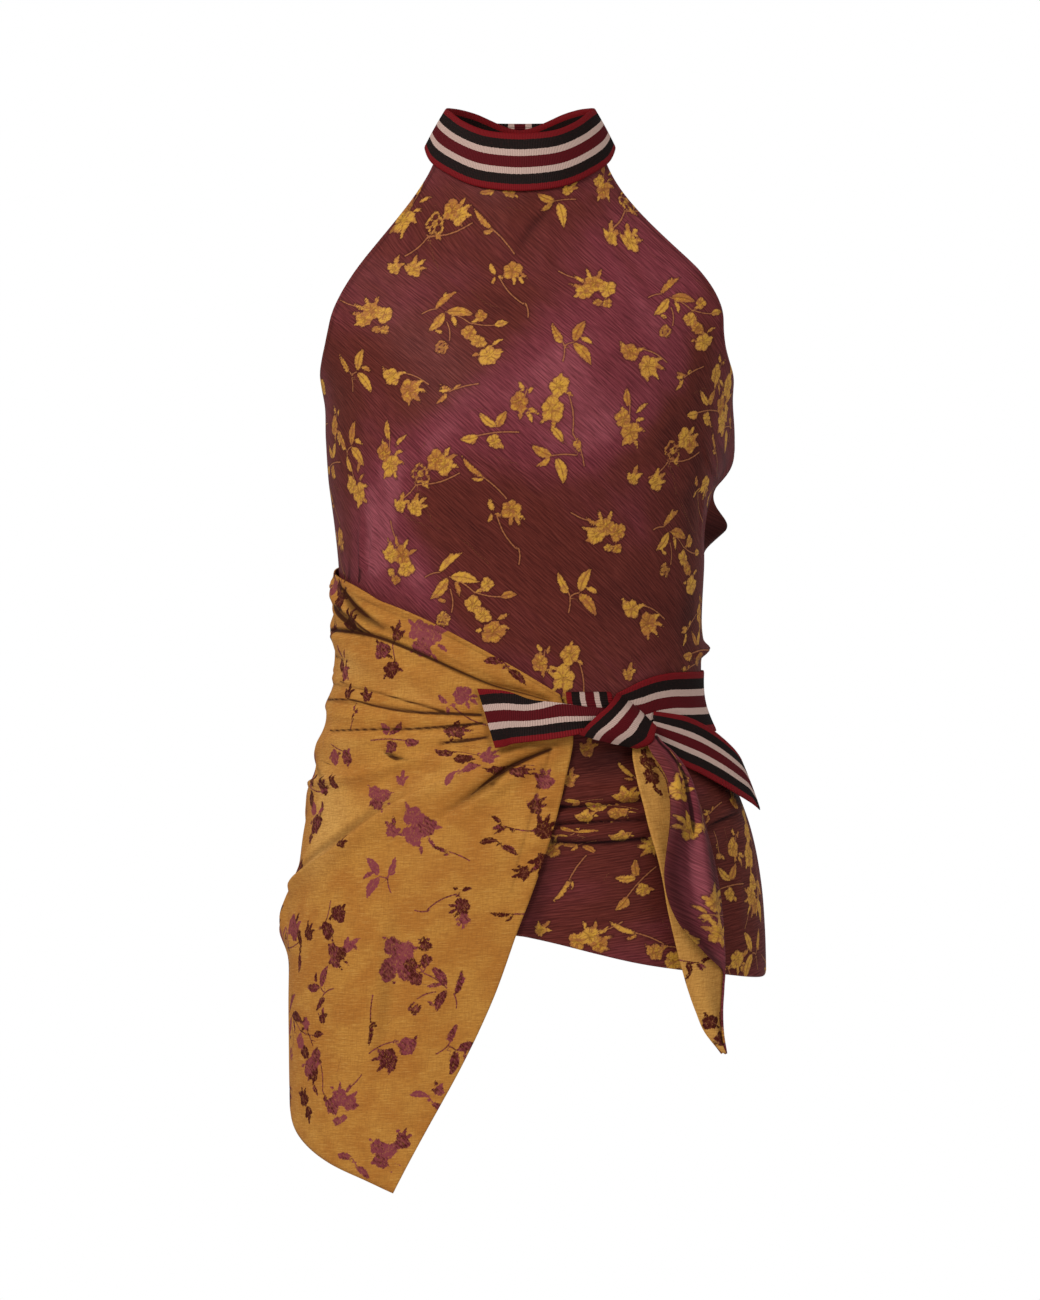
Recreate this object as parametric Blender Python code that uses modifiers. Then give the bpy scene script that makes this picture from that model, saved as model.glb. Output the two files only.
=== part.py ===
"""Halter-neck wrap top in two-faced silk jacquard with a striped ribbon collar and waist tie.

The garment is held at the neck. Its origin is the middle of the collar, x runs to
the right of a viewer facing its front, y runs from front to back, z runs up.
Every panel is a cloth wall on one general figure: sections of that figure come from
FIGURE, and a panel is the stretch of it between the panel's own edges.
Tables are in millimetres and degrees. A bearing of 0 is centre front, 90 is the
right side, 180 is centre back and -90 (or 270) is the left side.
"""

import bmesh
import bpy
import numpy as np

# ------------------------------------------------------------------ main sizes
MM = 0.001
CLOTH = 1.5            # wall of the jacquard with its turned edges
RIBBON = 1.2           # wall of the grosgrain ribbon
RIBBON_WIDTH = 40.0
SEAM_GAP = 0.8         # between panels that are sewn to each other, facets included
UNDERARM_SEAM = 95.0   # bearing of the side seams
WRAP_SEAM = 210.0      # bearing of the seam that holds the wrap panel, left back
WRAP_CLEAR = 2.4       # the wrap panel lies this far outside the front panel
BELT_CLEAR = 1.1       # the waist ribbon lies this far outside the panels
MIDDLE = 6.0           # the figure's widest line lies this far behind the neck's middle
SQUARENESS = 2.25      # 2 is an ellipse, more is a fuller corner

# Sections of the general figure: height, half width left and right, depth of the
# front and of the back from the widest line.
FIGURE = [
    # z_mm, left, right, front, back
    (30, 60, 60, 58, 58),
    (5, 70, 70, 60, 62),
    (-20, 118, 118, 65, 72),
    (-50, 158, 160, 75, 84),
    (-85, 170, 173, 90, 92),
    (-105, 166, 169, 100, 95),
    (-130, 152, 156, 111, 97),
    (-160, 138, 148, 119, 96),
    (-190, 136, 145, 122, 93),
    (-207, 135, 143, 121, 91),
    (-220, 134, 139, 119, 89),
    (-235, 132, 133, 115.5, 86.5),
    (-250, 130, 130, 112, 84),
    (-280, 127, 129, 105, 79),
    (-310, 126, 127.5, 101, 76),
    (-340, 126, 127, 99, 76),
    (-375, 129, 128.5, 98, 80),
    (-400, 135, 138, 100, 88),
    (-430, 141, 150, 103, 99),
    (-460, 147, 161, 106, 108),
    (-500, 152, 169, 108, 115),
    (-530, 156, 171.5, 107, 117),
    (-565, 158, 172.5, 105, 115),
    (-620, 158, 172, 102, 110),
    (-740, 155, 168, 97, 102),
]

# Scooped armholes of the front: bearing of its left and right edge at each height.
# Below the underarm both edges are the side seams.
ARMHOLE = [
    # z_mm, left_deg, right_deg
    (-5, -41, 42),
    (-14, -38, 37),
    (-28, -35.2, 34.3),
    (-49, -34.7, 35.4),
    (-60, -36, 38),
    (-80, -40.7, 44.7),
    (-100, -46.6, 51.3),
    (-121, -54.7, 58.1),
    (-138, -65, 68),
    (-152, -78, 81),
    (-168, -90, 91),
    (-184, -UNDERARM_SEAM, UNDERARM_SEAM),
]

# Hem of the body, lower at the right side, which the wrap leaves open to view.
HEM = [
    # bearing_deg, z_mm
    (-95, -507),
    (-50, -514),
    (0, -530),
    (30, -549),
    (60, -557),
    (95, -560),
    (140, -556),
    (180, -546),
    (230, -523),
    (265, -507),
]

# Low back: its top edge falls from the underarms to a soft cowl.
BACK_TOP = [
    # bearing_deg, z_mm
    (95, -184),
    (110, -186),
    (135, -204),
    (180, -240),
    (225, -208),
    (250, -188),
    (265, -184),
]

# Edges of the wrap panel, each from the back seam or the knot on.
WRAP_TOP = [
    # along, bearing_deg, z_mm
    (0.00, -150, -268),
    (0.18, -120, -275),
    (0.33, -95, -281),
    (0.42, -81, -284),
    (0.54, -60, -292),
    (0.65, -45, -303.5),
    (0.77, -27.5, -318),
    (0.87, -12, -336),
    (0.94, 0, -351),
    (1.00, 12, -367.5),
]
WRAP_FRONT = [
    # down, bearing_deg, z_mm: the knot, then the free edge
    (0.00, 12, -367.5),
    (0.15, 14, -384),
    (0.27, 14.4, -400),
    (0.37, 10.3, -432),
    (0.47, 6.1, -466),
    (0.57, 1.9, -500),
    (0.66, -2.0, -530),
    (0.76, -7.6, -575),
    (0.86, -15.2, -622),
    (0.94, -23.5, -665),
    (1.00, -32, -707),
]
WRAP_HEM = [
    # along, bearing_deg, z_mm
    (0.00, -150, -527),
    (0.14, -132, -560),
    (0.32, -111, -605),
    (0.48, -93, -644),
    (0.60, -79, -661),
    (0.70, -67, -674),
    (0.82, -52, -689),
    (0.92, -40, -699),
    (1.00, -32, -707),
]

# Rings of the collar by bearing: the ribbon leans in towards its top edge and dips
# at centre back, where its tie gathers it.
COLLAR_LOWER = {"half_width": 66.0, "middle": 5.0, "depth": 63.0}
COLLAR_UPPER = {"half_width": 51.0, "middle": 2.5, "depth": 52.5}
COLLAR_HEIGHTS = [
    # bearing_deg, lower_mm, upper_mm
    (0, -19.6, 20.5),
    (30, -14.5, 24),
    (50, -6, 30.5),
    (66, 1.5, 37),
    (90, 15, 42),
    (110, 14, 44.5),
    (130, 8, 45),
    (145, 4, 43),
    (158, 1, 39),
    (168, -1, 35.5),
    (180, -2, 33),
]
NECKLINE_ENDS = 67.5     # bearing on the collar where the front panel's neckline ends
NECKLINE_TUCK = 6.0      # the panel goes this far up behind the ribbon

# The waist ribbon's middle line, from the knot round the right side to the wrap's seam.
WAIST_RIBBON = [
    # bearing_deg, z_mm, half_width_mm
    (29.8, -377.5, 10.5),
    (34, -379.0, 16.2),
    (37.7, -378.5, 19.3),
    (43.5, -375.4, 20),
    (50, -373.8, 20.5),
    (60, -373.8, 21.2),
    (80, -373.5, 21.2),
    (110, -371, 20),
    (150, -372, 20),
    (180, -373, 20),
    (207, -375, 20),
]

# The largest folds: soft ridges (or troughs, below zero) along a straight run from
# one point of the cloth to another.
BODY_FOLDS = [
    # name, from_deg, from_mm, to_deg, to_mm, width_mm, from_height, to_height
    ("right armhole roll", 78, -165, 98, -203, 16, 1.5, 8.0),
    ("pinch under it", 70, -216, 100, -229, 8, 0.0, -2.5),
    ("bump above the belt", 78, -330, 102, -336, 9, 0.5, 3.0),
    ("gather under the knot, upper", 6, -438, 46, -436, 7, 3.0, 3.0),
    ("gather under the knot, middle", 6, -452, 44, -449, 6, 3.0, 3.5),
    ("gather under the knot, lower", 4, -466, 48, -468, 7, 3.0, 4.0),
]
BACK_FOLDS = [
    ("cowl, first", 104, -196, 180, -258, 13, 6.0, 8.0),
    ("cowl, first, left half", 180, -258, 256, -198, 13, 8.0, 3.0),
    ("cowl, second", 101, -248, 180, -300, 14, 18.0, 6.0),
    ("cowl, second, left half", 180, -300, 250, -252, 13, 6.0, 2.0),
    ("bump above the belt", 98, -336, 130, -330, 9, 3.0, 1.0),
]
WRAP_FOLDS = [
    ("top edge roll", -100, -292, 6, -362, 7, 4.0, 1.0),
    ("second roll", -98, -318, 2, -372, 8, 3.5, 1.0),
    ("to the waist", -96, -375, -6, -384, 8, 3.0, 1.0),
    ("to the hip", -98, -408, 0, -394, 9, 3.5, 1.5),
    ("high hip", -96, -442, -10, -404, 10, 3.0, 1.5),
    ("long diagonal", -90, -516, 4, -404, 12, 5.0, 2.5),
    ("side puff", -104, -535, -82, -532, 16, 13.0, 3.0),
]

# Front knot, all laid outside the panels: bearing, height, distance out, half width.
RIBBON_END_LEFT = [
    # bearing_deg, z_mm, out_mm, half_width_mm
    (-9.6, -384.0, 13.0, 20.8),
    (-4.1, -383.8, 13.5, 19.3),
    (2.4, -385.6, 13.0, 15.0),
    (10.7, -385.6, 12.2, 12.4),
    (18.9, -385.2, 11.4, 9.0),
    (24.5, -384.8, 11.0, 7.6),
]
RIBBON_END_RIGHT = [
    (39.5, -392.0, 4.1, 13.0),
    (45, -396.5, 4.2, 16.0),
    (50.6, -401.0, 4.5, 18.5),
    (56.6, -406.1, 5.2, 19.5),
    (63.3, -413.3, 6.6, 20.0),
    (72.7, -423.5, 8.6, 20.0),
    (80, -430.0, 10.0, 19.5),
    (86, -435.0, 11.0, 19.0),
]
KNOT_BAND = [
    # outer_deg, outer_mm, middle_deg, middle_mm, inner_deg, inner_mm, out of each
    (29.3, -366.6, 35.4, -376.2, 39.4, -389.3, 5.6, 4.6, 6.2),
    (27.4, -370.8, 33.4, -379.4, 38.9, -391.8, 9.5, 10.0, 11.5),
    (24.4, -377.3, 30.6, -384.5, 37.4, -395.8, 13.5, 15.0, 14.0),
    (20.9, -384.0, 27.1, -392.2, 35.6, -401.9, 15.5, 17.0, 15.5),
    (17.6, -391.4, 23.9, -397.2, 33.3, -405.2, 15.5, 16.5, 15.0),
    (16.0, -396.2, 22.4, -401.3, 31.3, -406.6, 13.6, 13.0, 12.0),
]
KNOT_LOOP = [
    # bearing_deg, z_mm, out_mm, half_width_mm
    (20.4, -366.4, 4.8, 15.0),
    (20.4, -365.7, 6.0, 15.1),
    (20.5, -367.0, 7.2, 15.3),
    (20.6, -372, 7.8, 15.5),
    (21.2, -380, 8.0, 15.5),
    (21.6, -389, 7.4, 15.2),
]

# Tail of the same jacquard, folded lengthwise: the back layer hangs from the knot to
# the point, the front layer returns from the fold on the right and ends higher.
TAIL = [
    # z_mm, left_edge_deg, fold_deg, front_layer_edge_deg, out_mm
    (-398, 33.0, 39.4, 36.0, 5.8),
    (-404, 31.0, 40.4, 34.2, 8.0),
    (-410, 30.1, 42.2, 34.2, 9.5),
    (-419, 29.6, 43.8, 35.4, 11.5),
    (-429, 29.4, 44.7, 36.2, 13.0),
    (-443, 29.6, 45.1, 35.7, 13.5),
    (-460, 29.8, 45.4, 34.8, 13.5),
    (-477, 30.5, 45.9, 33.9, 13.5),
    (-494, 31.3, 46.5, 33.4, 13.0),
    (-511, 32.2, 47.0, 34.0, 13.0),
    (-525, 33.4, 47.4, 35.9, 13.0),
    (-535, 34.3, 47.5, 38.6, 13.0),
    (-545, 35.2, 47.5, 42.2, 13.0),
    (-554, 36.1, 47.4, 46.2, 13.0),
    (-566, 37.3, 46.9, 46.7, 13.0),
    (-582, 39.4, 46.5, 46.4, 13.0),
    (-599, 42.4, 46.9, 46.8, 13.0),
    (-612, 46.9, 47.9, 47.8, 13.0),
]
TAIL_FOLD_DEPTH = 7.0    # the front layer stands this far off the back layer

# Tie of the collar at centre back, and its two ends hanging from under it.
COLLAR_KNOT = {"half_width": 20.0, "top": 38.5, "bottom": -14.0, "out": 6.5, "bulge": 4.5}
COLLAR_END_LEFT = [
    # x_mm, y_mm, z_mm, half_width_mm
    (-8.5, 71.0, -4, 6.5),
    (-9.4, 71.2, -15, 7.0),
    (-14.0, 79.0, -34, 13.0),
    (-20.5, 85.5, -60, 18.0),
    (-26.0, 90.5, -86, 19.8),
    (-29.5, 93.0, -109, 20.0),
]
COLLAR_END_RIGHT = [
    (8.5, 71.0, -4, 6.5),
    (9.4, 71.2, -15, 7.0),
    (13.2, 79.5, -34, 12.5),
    (19.4, 86.0, -57, 17.8),
    (24.0, 90.0, -79, 19.8),
    (27.0, 92.3, -99, 20.0),
]

# Colours of the cloth and the ribbon, as linear values.
BURGUNDY = (0.105, 0.026, 0.024, 1.0)
GOLD = (0.46, 0.22, 0.055, 1.0)
RIBBON_RED = (0.16, 0.012, 0.018, 1.0)


# ------------------------------------------------------------------ measuring rules
def column(rows, name_index, at):
    """A table's column as a smooth curve through its rows, read at one or many places."""
    rows = np.array(sorted([r for r in rows], key=lambda r: r[0]), dtype=object)
    known = np.array(rows[:, 0], float)
    value = np.array(rows[:, name_index], float)
    step = np.diff(known)
    rise = np.diff(value) / step
    slope = np.empty(len(known))
    slope[0], slope[-1] = rise[0], rise[-1]
    slope[1:-1] = (rise[:-1] * step[1:] + rise[1:] * step[:-1]) / (step[1:] + step[:-1])
    at = np.clip(np.asarray(at, float), known[0], known[-1])
    i = np.clip(np.searchsorted(known, at, side="right") - 1, 0, len(known) - 2)
    h = step[i]
    t = (at - known[i]) / h
    return (
        (2 * t**3 - 3 * t**2 + 1) * value[i]
        + (t**3 - 2 * t**2 + t) * h * slope[i]
        + (3 * t**2 - 2 * t**3) * value[i + 1]
        + (t**3 - t**2) * h * slope[i + 1]
    )


def soft_step(low, high, at):
    t = np.clip((np.asarray(at, float) - low) / (high - low), 0, 1)
    return t * t * (3 - 2 * t)


def figure(bearing, z):
    """The point of the general figure at a bearing and a height."""
    bearing, z = np.broadcast_arrays(np.asarray(bearing, float), np.asarray(z, float))
    s, c = np.sin(np.radians(bearing)), np.cos(np.radians(bearing))
    half = np.where(s < 0, column(FIGURE, 1, z), column(FIGURE, 2, z))
    deep = np.where(c > 0, column(FIGURE, 3, z), column(FIGURE, 4, z))
    r = (np.abs(s) ** SQUARENESS + np.abs(c) ** SQUARENESS) ** (-1 / SQUARENESS)
    return np.stack([half * r * s, MIDDLE - deep * r * c, z], -1)


def outward(bearing, z):
    across = figure(np.asarray(bearing) + 0.5, z) - figure(np.asarray(bearing) - 0.5, z)
    up = figure(bearing, np.asarray(z) + 1.0) - figure(bearing, np.asarray(z) - 1.0)
    n = np.cross(across, up)
    return n / np.linalg.norm(n, axis=-1, keepdims=True)


def off_figure(bearing, z, out):
    return figure(bearing, z) + outward(bearing, z) * np.asarray(out, float)[..., None]


def girth_per_degree(bearing, z):
    return np.linalg.norm(
        figure(np.asarray(bearing) + 0.5, z) - figure(np.asarray(bearing) - 0.5, z), axis=-1
    )


def fold_height(folds, bearing, z):
    """How far the folds of a table lift the cloth at each point."""
    total = np.zeros(np.broadcast(bearing, z).shape)
    for _, b0, z0, b1, z1, width, h0, h1 in folds:
        per_degree = 2.2
        dx, dz = (b1 - b0) * per_degree, z1 - z0
        px, pz = (np.asarray(bearing) - b0) * per_degree, np.asarray(z) - z0
        length = np.hypot(dx, dz)
        along = (px * dx + pz * dz) / length
        side = (pz * dx - px * dz) / length
        t = np.clip(along / length, 0, 1)
        past = np.maximum(0, np.maximum(-along, along - length))
        total += (h0 + (h1 - h0) * t) * np.exp(-((side / width) ** 2) - (past / (1.6 * width)) ** 2)
    return total


def collar_point(bearing, up):
    """The ribbon collar's inner face at a bearing, from 0 at its lower edge to 1 at the upper."""
    bearing, up = np.broadcast_arrays(np.asarray(bearing, float), np.asarray(up, float))
    s, c = np.sin(np.radians(bearing)), np.cos(np.radians(bearing))
    around = np.abs((bearing + 180) % 360 - 180)
    ends = []
    for ring, height in ((COLLAR_LOWER, 1), (COLLAR_UPPER, 2)):
        ends.append(
            np.stack(
                [
                    ring["half_width"] * s,
                    ring["middle"] - ring["depth"] * c,
                    column(COLLAR_HEIGHTS, height, around),
                ],
                -1,
            )
        )
    return ends[0] * (1 - up)[..., None] + ends[1] * up[..., None]


# ------------------------------------------------------------------ building rules
def collection():
    made = bpy.data.collections.new("wrap_top")
    bpy.context.scene.collection.children.link(made)
    return made


def finish(name, colour, roughness):
    material = bpy.data.materials.new(name)
    material.use_nodes = True
    shader = material.node_tree.nodes["Principled BSDF"]
    shader.inputs["Base Color"].default_value = colour
    shader.inputs["Roughness"].default_value = roughness
    shader.inputs["Metallic"].default_value = 0.0
    return material


def cloth(name, rule, columns, rows, wall, material, home, inward=True, ring=False):
    """A wall of cloth: a grid whose point (u, v), each from 0 to 1, goes where rule puts
    it. The rule gives the outer face, and the wall is made inward from it."""
    bm = bmesh.new()
    bmesh.ops.create_grid(bm, x_segments=columns, y_segments=rows, size=0.5)
    bm.verts.ensure_lookup_table()
    u = np.array([v.co.x + 0.5 for v in bm.verts])
    v = np.array([v.co.y + 0.5 for v in bm.verts])
    places = rule(u, v) * MM
    for vert, place in zip(bm.verts, places):
        vert.co = place
    if ring:
        bmesh.ops.remove_doubles(bm, verts=bm.verts, dist=0.00001)
    mesh = bpy.data.meshes.new(name)
    bm.to_mesh(mesh)
    bm.free()
    mesh.shade_smooth()
    piece = bpy.data.objects.new(name, mesh)
    home.objects.link(piece)
    piece.data.materials.append(material)
    thick = piece.modifiers.new("wall", "SOLIDIFY")
    thick.thickness = wall * MM
    thick.offset = -1.0 if inward else 1.0
    return piece


# ------------------------------------------------------------------ the panels' rules
def front_rule(u, v):
    """u runs from the left edge to the right edge, v from the hem up to the neckline."""
    down = 1 - v
    hem = column(HEM, 1, -UNDERARM_SEAM + 2 * UNDERARM_SEAM * u)
    edge = np.abs(2 * u - 1) ** 1.6
    top = -13.5 * (1 - edge) - 3.0 * edge
    z = top + (hem - top) * down
    left, right = column(ARMHOLE, 1, z), column(ARMHOLE, 2, z)
    gap = SEAM_GAP / 2 / 2.2
    bearing = (left + gap) * (1 - u) + (right - gap) * u
    lift = fold_height(BODY_FOLDS, bearing, z)
    body = off_figure(bearing, z, lift)
    at = -NECKLINE_ENDS + 2 * NECKLINE_ENDS * u
    tucked = collar_point(at, 0.0)
    along_ribbon = collar_point(at, 1.0) - tucked
    along_ribbon /= np.linalg.norm(along_ribbon, axis=-1, keepdims=True)
    inward = np.stack([-np.sin(np.radians(at)), np.cos(np.radians(at)), 0 * at], -1)
    neck = tucked + along_ribbon * NECKLINE_TUCK + inward * 1.0
    below = neck - along_ribbon * (down / 0.055 * 3.2 * NECKLINE_TUCK)[:, None]
    join = (1 - soft_step(0.02, 0.13, down))[:, None]
    return below * join + body * (1 - join)


def back_rule(u, v):
    """u runs from the right seam round the back to the left seam, v from the hem up."""
    gap = SEAM_GAP / 2 / 2.2
    bearing = (UNDERARM_SEAM + gap) * (1 - u) + (360 - UNDERARM_SEAM - gap) * u
    top, hem = column(BACK_TOP, 1, bearing), column(HEM, 1, bearing)
    z = hem + (top - hem) * v
    lift = fold_height(BACK_FOLDS, bearing, z)
    seam = soft_step(95, 101, bearing) * (1 - soft_step(258, 265, bearing))
    from_front = fold_height(BODY_FOLDS, np.where(bearing > 180, bearing - 360, bearing), z)
    return off_figure(bearing, z, lift * seam + from_front * (1 - seam))


def wrap_place(u, v):
    """Bearing and height on the wrap panel: u from the back seam to the front edge,
    v from the hem up to the top edge."""
    down = 1 - v
    place = []
    for k in (1, 2):
        top, hem = column(WRAP_TOP, k, u), column(WRAP_HEM, k, u)
        front = column(WRAP_FRONT, k, down)
        a, b = WRAP_TOP[0][k], WRAP_TOP[-1][k]
        c, d = WRAP_HEM[0][k], WRAP_HEM[-1][k]
        seam = a + (c - a) * down
        corners = (1 - u) * (1 - down) * a + u * (1 - down) * b + (1 - u) * down * c + u * down * d
        place.append((1 - down) * top + down * hem + (1 - u) * seam + u * front - corners)
    return place


def wrap_rule(u, v):
    bearing, z = wrap_place(u, v)
    behind = soft_step(-95, -101, bearing)
    under = fold_height(BODY_FOLDS, bearing, z) * (1 - behind)
    under = under + fold_height(BACK_FOLDS, bearing + 360, z) * behind
    out = WRAP_CLEAR + CLOTH + np.maximum(0, under) + fold_height(WRAP_FOLDS, bearing, z)
    return off_figure(bearing, z, out)


def waist_rule(u, v):
    bearing = WAIST_RIBBON[0][0] + (WAIST_RIBBON[-1][0] - WAIST_RIBBON[0][0]) * u
    z = column(WAIST_RIBBON, 1, bearing) + (2 * v - 1) * column(WAIST_RIBBON, 2, bearing)
    return off_figure(bearing, z, BELT_CLEAR + RIBBON + 0 * z)


def collar_rule(u, v):
    bearing = 360 * u
    place = collar_point(bearing, v)
    out = np.stack([np.sin(np.radians(bearing)), -np.cos(np.radians(bearing)), 0 * u], -1)
    return place + out * (RIBBON + 0.4 * np.sin(np.pi * v))[:, None]


def strip_rule(rows, level=False, end_slant=0.0):
    """A strip laid on the figure along a table's rows; u runs along it, v across it.
    A level strip keeps its width along the girth. end_slant moves the first row's upper
    corner and its lower corner apart along the strip, for an end cut at a slant."""
    table = [(i / (len(rows) - 1),) + tuple(r) for i, r in enumerate(rows)]

    def rule(u, v):
        bearing, z, out, half = (column(table, k, u) for k in (1, 2, 3, 4))
        e = 0.01
        per = girth_per_degree(bearing, z)
        run = (column(table, 1, u + e) - column(table, 1, u - e)) * per
        fall = column(table, 2, u + e) - column(table, 2, u - e)
        length = np.hypot(run, fall)
        side = (2 * v - 1) * half
        if level:
            return off_figure(bearing + side / per, z, out)
        b = bearing - side * fall / length / per
        near_end = np.clip(1 - u * (len(rows) - 1) / 2, 0, 1)
        b = b + end_slant * (2 * v - 1) * near_end * np.sign(run) / per
        return off_figure(b, z + side * run / length, out)

    return rule


def knot_rule(u, v):
    """u runs down the turn of the knot, v from its outer edge over its middle to the
    inner edge."""
    table = [(i / (len(KNOT_BAND) - 1),) + row for i, row in enumerate(KNOT_BAND)]
    lead, mid, rest = (1 - v) * (1 - 2 * v), 4 * v * (1 - v), v * (2 * v - 1)

    def across(first, step):
        a, b, c = (column(table, first + step * k, u) for k in range(3))
        return a * lead + b * mid + c * rest

    return off_figure(across(1, 2), across(2, 2), across(7, 1))


def hang_rule(rows):
    """A strip hanging from the tie of the collar; u runs down it, v across it."""
    table = [(i / (len(rows) - 1),) + row for i, row in enumerate(rows)]

    def rule(u, v):
        x, y, z, half = (column(table, k, u) for k in (1, 2, 3, 4))
        return np.stack([x - (2 * v - 1) * half, y, z], -1)

    return rule


def tail_rule(u, v):
    """u runs across the folded cloth, from the back layer's left edge over the fold on
    the right to the front layer's edge; v runs up from the point."""
    z = TAIL[-1][0] + (TAIL[0][0] - TAIL[-1][0]) * v
    left, fold, edge, out = (column(TAIL, k, z) for k in (1, 2, 3, 4))
    turn = 0.5
    back = np.clip(u / turn, 0, 1)
    front = np.clip((u - turn) / (1 - turn), 0, 1)
    bearing = left + (fold - left) * back - (fold - edge) * front
    room = np.clip((fold - edge) / 8.0, 0.12, 1)
    lift = TAIL_FOLD_DEPTH * room * soft_step(0, 0.35, front)
    swell = 2.5 * room * np.sin(np.pi * front)
    return off_figure(bearing, z, out + lift + swell)


def collar_knot_rule(u, v):
    k = COLLAR_KNOT
    across = 2 * u - 1
    x = -k["half_width"] * across
    z = k["bottom"] + (k["top"] - k["bottom"]) * v
    lean = (z + 2) / 35.0
    ring = 68 - 13 * np.clip(lean, 0, 1)
    y = ring + k["out"] + k["bulge"] * np.sin(np.pi * v) - 2.5 * across**2
    return np.stack([x, y, z], -1)


# ------------------------------------------------------------------ the garment
def build():
    for old in list(bpy.data.objects):
        bpy.data.objects.remove(old, do_unlink=True)
    home = collection()
    face = finish("burgundy jacquard", BURGUNDY, 0.5)
    reverse = finish("gold reverse of the jacquard", GOLD, 0.6)
    ribbon = finish("striped grosgrain ribbon", RIBBON_RED, 0.65)

    cloth("front_panel", front_rule, 24, 28, CLOTH, face, home)
    cloth("back_panel", back_rule, 24, 20, CLOTH, face, home)
    cloth("wrap_panel", wrap_rule, 24, 22, CLOTH, reverse, home)
    cloth("collar", collar_rule, 48, 1, RIBBON, ribbon, home, ring=True)
    cloth("waist_ribbon", waist_rule, 36, 2, RIBBON, ribbon, home)
    cloth("ribbon_end_left", strip_rule(RIBBON_END_LEFT, end_slant=-6.0), 10, 2, RIBBON, ribbon, home)
    cloth("ribbon_end_right", strip_rule(RIBBON_END_RIGHT), 12, 4, RIBBON, ribbon, home)
    cloth("knot_band", knot_rule, 10, 6, RIBBON, ribbon, home)
    cloth("knot_loop", strip_rule(KNOT_LOOP, level=True), 8, 3, RIBBON, ribbon, home)
    cloth("fabric_tail", tail_rule, 12, 16, 1.0, face, home)
    cloth("collar_knot", collar_knot_rule, 4, 6, RIBBON, ribbon, home)
    cloth("collar_end_left", hang_rule(COLLAR_END_LEFT), 8, 1, RIBBON, ribbon, home)
    cloth("collar_end_right", hang_rule(COLLAR_END_RIGHT), 8, 1, RIBBON, ribbon, home)



build()
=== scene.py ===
"""Looks of the halter-neck wrap top: two-faced silk jacquard panels and a striped ribbon
collar and tie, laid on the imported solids. Tables are in millimetres and degrees, as in
the part's own source; the places of creases and sprigs are given as seen from the front,
in pixels of the 1040 x 1300 view, and are put on the cloth that carries them."""

import math

import bpy
import numpy as np
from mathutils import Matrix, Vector


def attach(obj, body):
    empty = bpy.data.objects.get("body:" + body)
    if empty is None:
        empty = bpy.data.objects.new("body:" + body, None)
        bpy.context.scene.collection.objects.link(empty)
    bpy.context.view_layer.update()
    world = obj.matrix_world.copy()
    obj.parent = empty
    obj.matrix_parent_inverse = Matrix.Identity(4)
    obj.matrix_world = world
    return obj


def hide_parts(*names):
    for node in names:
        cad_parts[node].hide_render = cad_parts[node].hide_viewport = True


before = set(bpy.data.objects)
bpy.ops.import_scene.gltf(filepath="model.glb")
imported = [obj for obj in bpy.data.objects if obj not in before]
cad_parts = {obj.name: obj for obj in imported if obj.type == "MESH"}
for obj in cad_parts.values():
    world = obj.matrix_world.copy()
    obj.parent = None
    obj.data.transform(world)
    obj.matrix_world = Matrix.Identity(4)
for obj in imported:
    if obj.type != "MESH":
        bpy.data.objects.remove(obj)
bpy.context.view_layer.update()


# ------------------------------------------------------------- sizes shared with the part
MM = 0.001
CLOTH = 1.5
RIBBON = 1.2
RIBBON_WIDTH = 40.0
SEAM_GAP = 0.3
UNDERARM_SEAM = 95.0
WRAP_CLEAR = 2.4
BELT_CLEAR = 1.1
MIDDLE = 6.0
SQUARENESS = 2.25

# Sections of the general figure: height, half width left and right, depth of the
# front and of the back from the widest line.
FIGURE = [
    # z_mm, left, right, front, back
    (30, 60, 60, 58, 58),
    (5, 70, 70, 60, 62),
    (-20, 118, 118, 65, 72),
    (-50, 158, 160, 75, 84),
    (-85, 170, 173, 90, 92),
    (-105, 166, 169, 100, 95),
    (-130, 152, 156, 111, 97),
    (-160, 138, 148, 119, 96),
    (-190, 136, 145, 122, 93),
    (-207, 135, 143, 121, 91),
    (-220, 134, 139, 119, 89),
    (-235, 132, 133, 115.5, 86.5),
    (-250, 130, 130, 112, 84),
    (-280, 127, 129, 105, 79),
    (-310, 126, 127.5, 101, 76),
    (-340, 126, 127, 99, 76),
    (-375, 129, 128.5, 98, 80),
    (-400, 135, 138, 100, 88),
    (-430, 141, 150, 103, 99),
    (-460, 147, 161, 106, 108),
    (-500, 152, 169, 108, 115),
    (-530, 156, 171.5, 107, 117),
    (-565, 158, 172.5, 105, 115),
    (-620, 158, 172, 102, 110),
    (-740, 155, 168, 97, 102),
]

# Scooped armholes of the front: bearing of its left and right edge at each height.
# Below the underarm both edges are the side seams.
ARMHOLE = [
    # z_mm, left_deg, right_deg
    (-5, -41, 42),
    (-14, -38, 37),
    (-28, -35.2, 34.3),
    (-49, -34.7, 35.4),
    (-60, -36, 38),
    (-80, -40.7, 44.7),
    (-100, -46.6, 51.3),
    (-121, -54.7, 58.1),
    (-138, -65, 68),
    (-152, -78, 81),
    (-168, -90, 91),
    (-184, -UNDERARM_SEAM, UNDERARM_SEAM),
]

# Hem of the body, lower at the right side, which the wrap leaves open to view.
HEM = [
    # bearing_deg, z_mm
    (-95, -507),
    (-50, -514),
    (0, -530),
    (30, -549),
    (60, -557),
    (95, -560),
    (140, -556),
    (180, -546),
    (230, -523),
    (265, -507),
]

# Low back: its top edge falls from the underarms to a soft cowl.
BACK_TOP = [
    # bearing_deg, z_mm
    (95, -184),
    (110, -186),
    (135, -204),
    (180, -240),
    (225, -208),
    (250, -188),
    (265, -184),
]

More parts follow.
